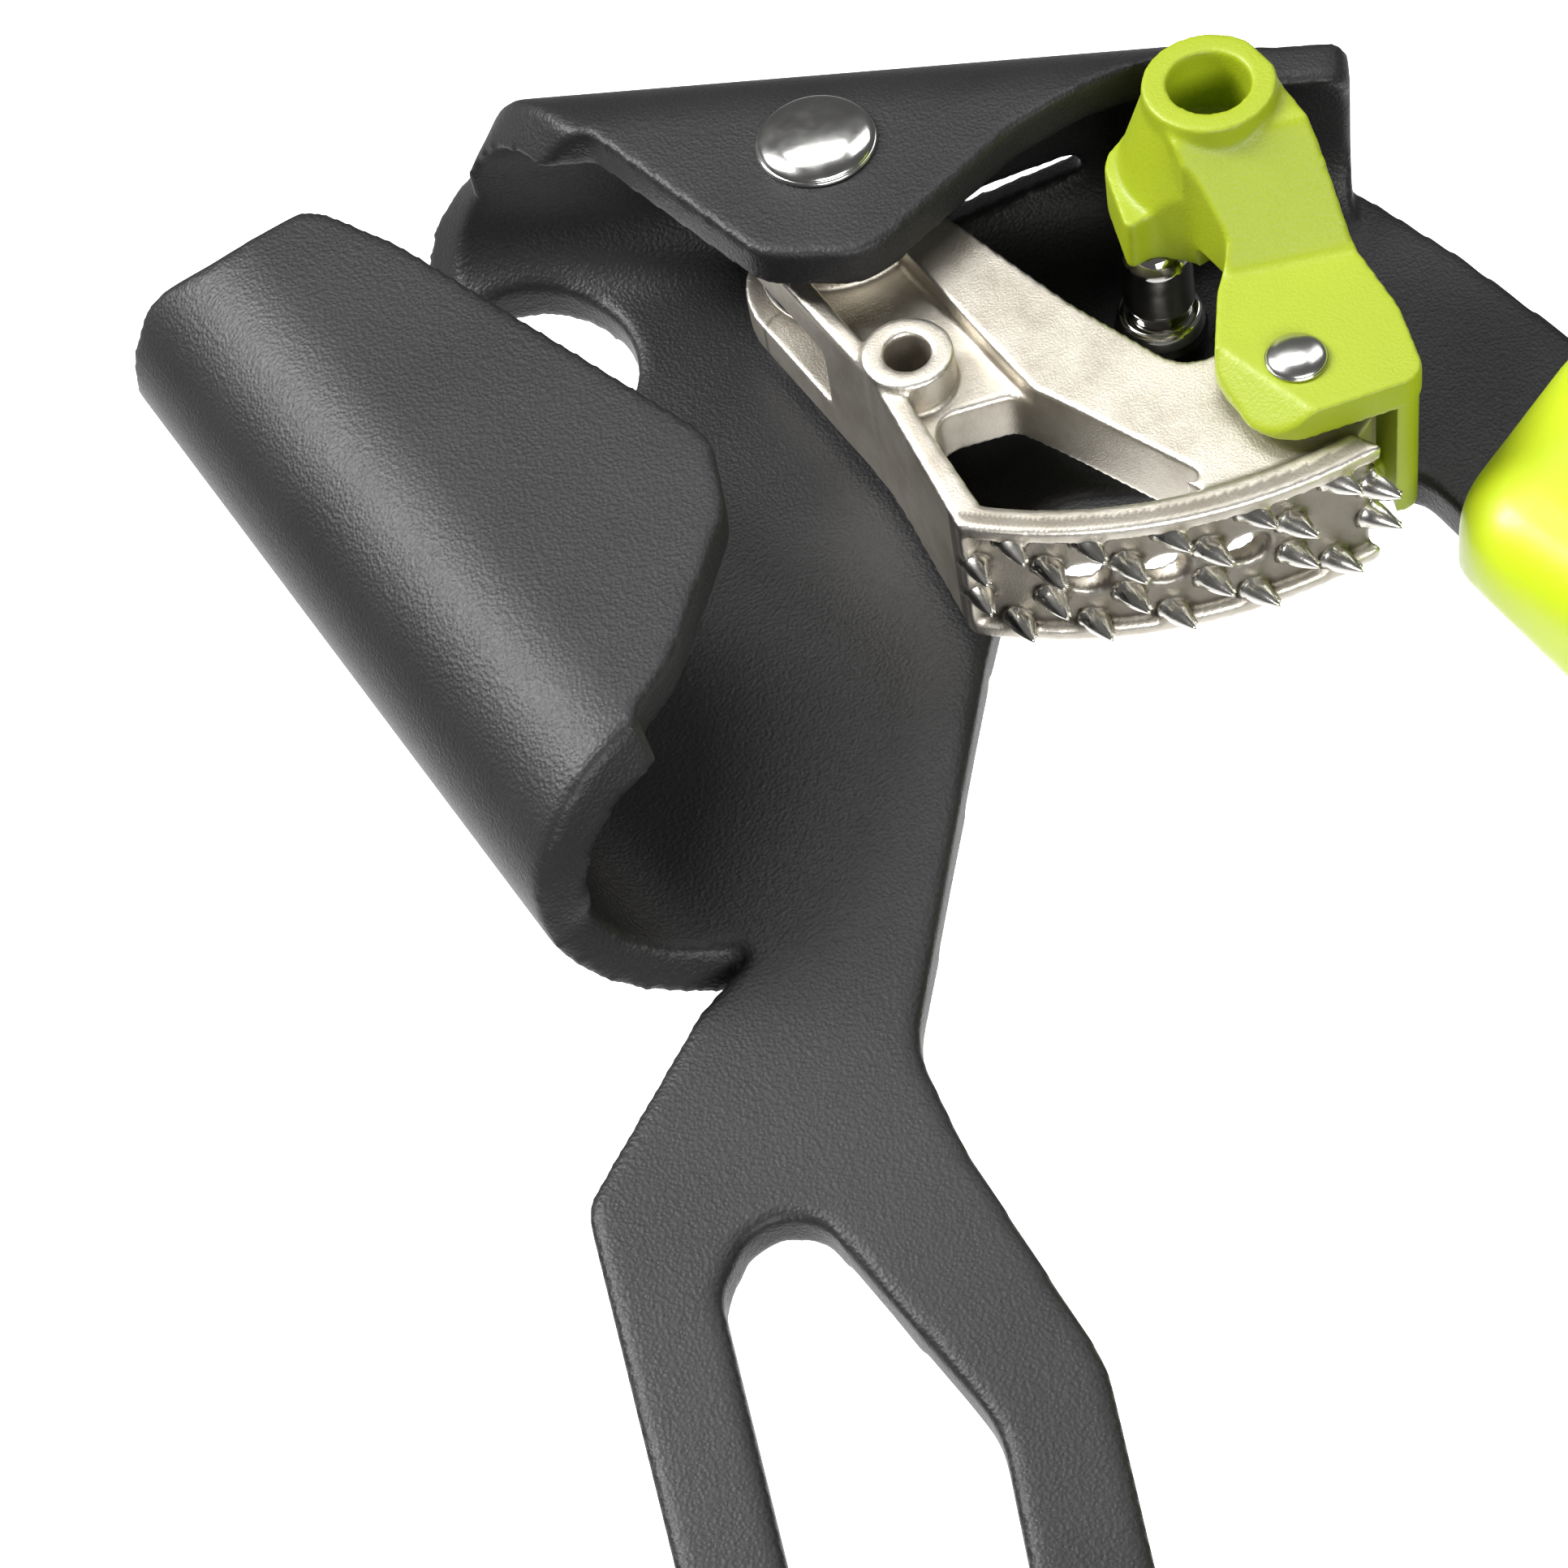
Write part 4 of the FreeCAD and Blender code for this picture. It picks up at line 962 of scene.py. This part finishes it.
def screw_shape(length_mm, head_r):
    """A socket cap screw with its head down, and a rolled thread at its end."""
    profile = [(0.0, 1.1), (SCREW_SOCKET_R, 1.1), (1.1, 0.12), (1.25, 0.0),
               (head_r - 0.25, 0.0), (head_r, 0.25), (head_r, SCREW_HEAD), (SCREW_R, SCREW_HEAD)]
    z = length_mm - SCREW_THREAD
    profile.append((SCREW_R, z))
    while z < length_mm - 0.6:
        profile += [(THREAD_ROOT_R, z + THREAD_PITCH / 2), (SCREW_R, z + THREAD_PITCH)]
        z += THREAD_PITCH
    profile += [(1.1, length_mm), (0.0, length_mm)]
    return lathe("cap_screw", profile, Vector((0, 0, 0)), 36)


def nut_shape(across, height):
    """A hexagon nut with chamfered corners."""
    work = bmesh.new()
    rings = []
    for inset, z in ((0.35, 0.0), (0.0, NUT_CHAMFER), (0.0, height - NUT_CHAMFER),
                     (0.35, height)):
        corners = circle_points((across - inset) / math.sqrt(3), z, 6)
        rings.append([work.verts.new(p * MM) for p in corners])
    for below, above in zip(rings, rings[1:]):
        for i in range(6):
            j = (i + 1) % 6
            work.faces.new((below[i], below[j], above[j], above[i]))
    sides = 24
    holes = [[work.verts.new(p * MM) for p in circle_points(NUT_BORE_R, z, sides)]
             for z in (0.0, height)]
    for i in range(sides):
        j = (i + 1) % sides
        work.faces.new((holes[0][j], holes[0][i], holes[1][i], holes[1][j]))
    step = sides // 6
    for ring, hole in ((rings[0], holes[0]), (rings[-1], holes[1])):
        for i in range(6):
            arc = [hole[(i * step + k) % sides] for k in range(step + 1)]
            work.faces.new([ring[i], ring[(i + 1) % 6]] + arc[::-1])
    bmesh.ops.recalc_face_normals(work, faces=work.faces)
    mesh = bpy.data.meshes.new("hex_nut")
    work.to_mesh(mesh)
    work.free()
    return link_mesh("hex_nut", mesh)


class ASCENDER_OT_grip_fasteners(bpy.types.Operator):
    """Put the grip's screws and nuts in their recesses"""
    bl_idname = "ascender.grip_fasteners"
    bl_label = "Grip fasteners"

    def execute(self, context):
        hardware = context.scene.ascender_hardware
        oxide = black_oxide(hardware)
        for node, name in (("grip_screws", "grip_screw_set"), ("grip_nuts", "grip_nut_set")):
            boxes = solid_boxes(node)
            low, high = boxes[0]
            size = (high - low) / MM
            if node == "grip_screws":
                shape = screw_shape(size.z, size.x / 2)
            else:
                shape = nut_shape(min(size.x, size.y), size.z)
            points = bpy.data.meshes.new(name)
            places = [((a.x + b.x) / 2, (a.y + b.y) / 2, a.z) for a, b in boxes]
            points.from_pydata(places, [], [])
            piece = grown(name, fastener_tree(shape, oxide), {}, points)
            bpy.data.objects.remove(shape)
            split = piece.modifiers.new("crisp faces", "EDGE_SPLIT")
            split.split_angle = math.radians(35)
            baked(piece)
            finish_piece(piece, "frame", None, [node])
        return {"FINISHED"}


def area_light(name, place, aim, size, power):
    """A white soft box that faces a point."""
    data = bpy.data.lights.new(name, "AREA")
    data.shape = "RECTANGLE"
    data.size = size[0]
    data.size_y = size[1]
    data.energy = power
    lamp = bpy.data.objects.new(name, data)
    bpy.context.scene.collection.objects.link(lamp)
    lamp.location = place
    lamp.rotation_euler = (aim - place).to_track_quat("-Z", "Y").to_euler()


class ASCENDER_OT_stage(bpy.types.Operator):
    """Lay the pale floor, hang the soft lights and set up the camera"""
    bl_idname = "ascender.stage"
    bl_label = "Stage"

    def execute(self, context):
        settings = context.scene.ascender_stage
        scene = context.scene
        low, high = (Vector(corner) for corner in CAD_BOX)
        middle = (low + high) / 2
        if settings.floor:
            self.lay_floor(middle, low.z - settings.floor_drop, settings)
        self.hang_lights(middle)
        self.set_world(scene, settings.sky)
        self.set_camera(scene, settings)
        scene.view_settings.view_transform = "Standard"
        return {"FINISHED"}

    def lay_floor(self, middle, height, settings):
        """A wide square of paper, level with the given height."""
        mesh = bpy.data.meshes.new("floor")
        reach = 3.0
        corners = [(middle.x + x * reach, middle.y + y * reach, height)
                   for x, y in ((-1, -1), (1, -1), (1, 1), (-1, 1))]
        mesh.from_pydata(corners, [], [(0, 1, 2, 3)])
        floor = link_mesh("floor", mesh)
        mesh.materials.append(white_sweep(settings))

    def hang_lights(self, middle):
        """Soft boxes that face the cam's end of the ascender."""
        aim = middle + Vector((0, 0.04, 0))
        for name, place, size, power in SOFTBOXES:
            area_light(name, middle + Vector(place), aim, size, power)

    def set_world(self, scene, strength):
        """Even white light from all round."""
        world = bpy.data.worlds.new("studio")
        scene.world = world
        world.use_nodes = True
        background = next(n for n in world.node_tree.nodes if n.type == "BACKGROUND")
        background.inputs["Color"].default_value = linear("#ffffff")
        background.inputs["Strength"].default_value = strength

    def set_camera(self, scene, settings):
        """A camera turned by its line of sight and its up direction."""
        data = bpy.data.cameras.new("camera")
        data.lens = settings.lens
        data.clip_start = 0.01
        camera = bpy.data.objects.new("camera", data)
        scene.collection.objects.link(camera)
        back = -Vector(settings.ahead).normalized()
        right = Vector(settings.upward).cross(back).normalized()
        up = back.cross(right)
        turn = Matrix((right, up, back)).transposed()
        camera.matrix_world = Matrix.Translation(Vector(settings.camera)) @ turn.to_4x4()
        scene.camera = camera


# ---- panel and registration ------------------------------------------------------------
GROUPS = {"ascender_frame": FrameSettings, "ascender_cam": CamSettings,
          "ascender_trigger": TriggerSettings, "ascender_grip": GripSettings,
          "ascender_hardware": HardwareSettings, "ascender_stage": StageSettings}

OPERATORS = (ASCENDER_OT_frame_plate, ASCENDER_OT_cam, ASCENDER_OT_cam_teeth,
             ASCENDER_OT_springs, ASCENDER_OT_axle_stack, ASCENDER_OT_latch_pin,
             ASCENDER_OT_trigger, ASCENDER_OT_trigger_rivet, ASCENDER_OT_grip,
             ASCENDER_OT_grip_fasteners, ASCENDER_OT_stage)


class ASCENDER_PT_panel(bpy.types.Panel):
    """Sizes, colours and build steps of the rope ascender"""
    bl_label = "Rope ascender"
    bl_space_type = "VIEW_3D"
    bl_region_type = "UI"
    bl_category = "Ascender"

    def draw(self, context):
        for operator in OPERATORS:
            self.layout.operator(operator.bl_idname)
        for name, group in GROUPS.items():
            box = self.layout.box()
            box.label(text=name.split("_")[1].capitalize())
            for key in group.__annotations__:
                box.prop(getattr(context.scene, name), key)


def register():
    for cls in (*GROUPS.values(), *OPERATORS, ASCENDER_PT_panel):
        bpy.utils.register_class(cls)
    for name, group in GROUPS.items():
        setattr(bpy.types.Scene, name, PointerProperty(type=group))


def unregister():
    for name in GROUPS:
        delattr(bpy.types.Scene, name)
    for cls in reversed((*GROUPS.values(), *OPERATORS, ASCENDER_PT_panel)):
        bpy.utils.unregister_class(cls)


def main():
    register()
    for operator in OPERATORS:
        area, name = operator.bl_idname.split(".")
        getattr(getattr(bpy.ops, area), name)()


if __name__ == "__main__":
    main()
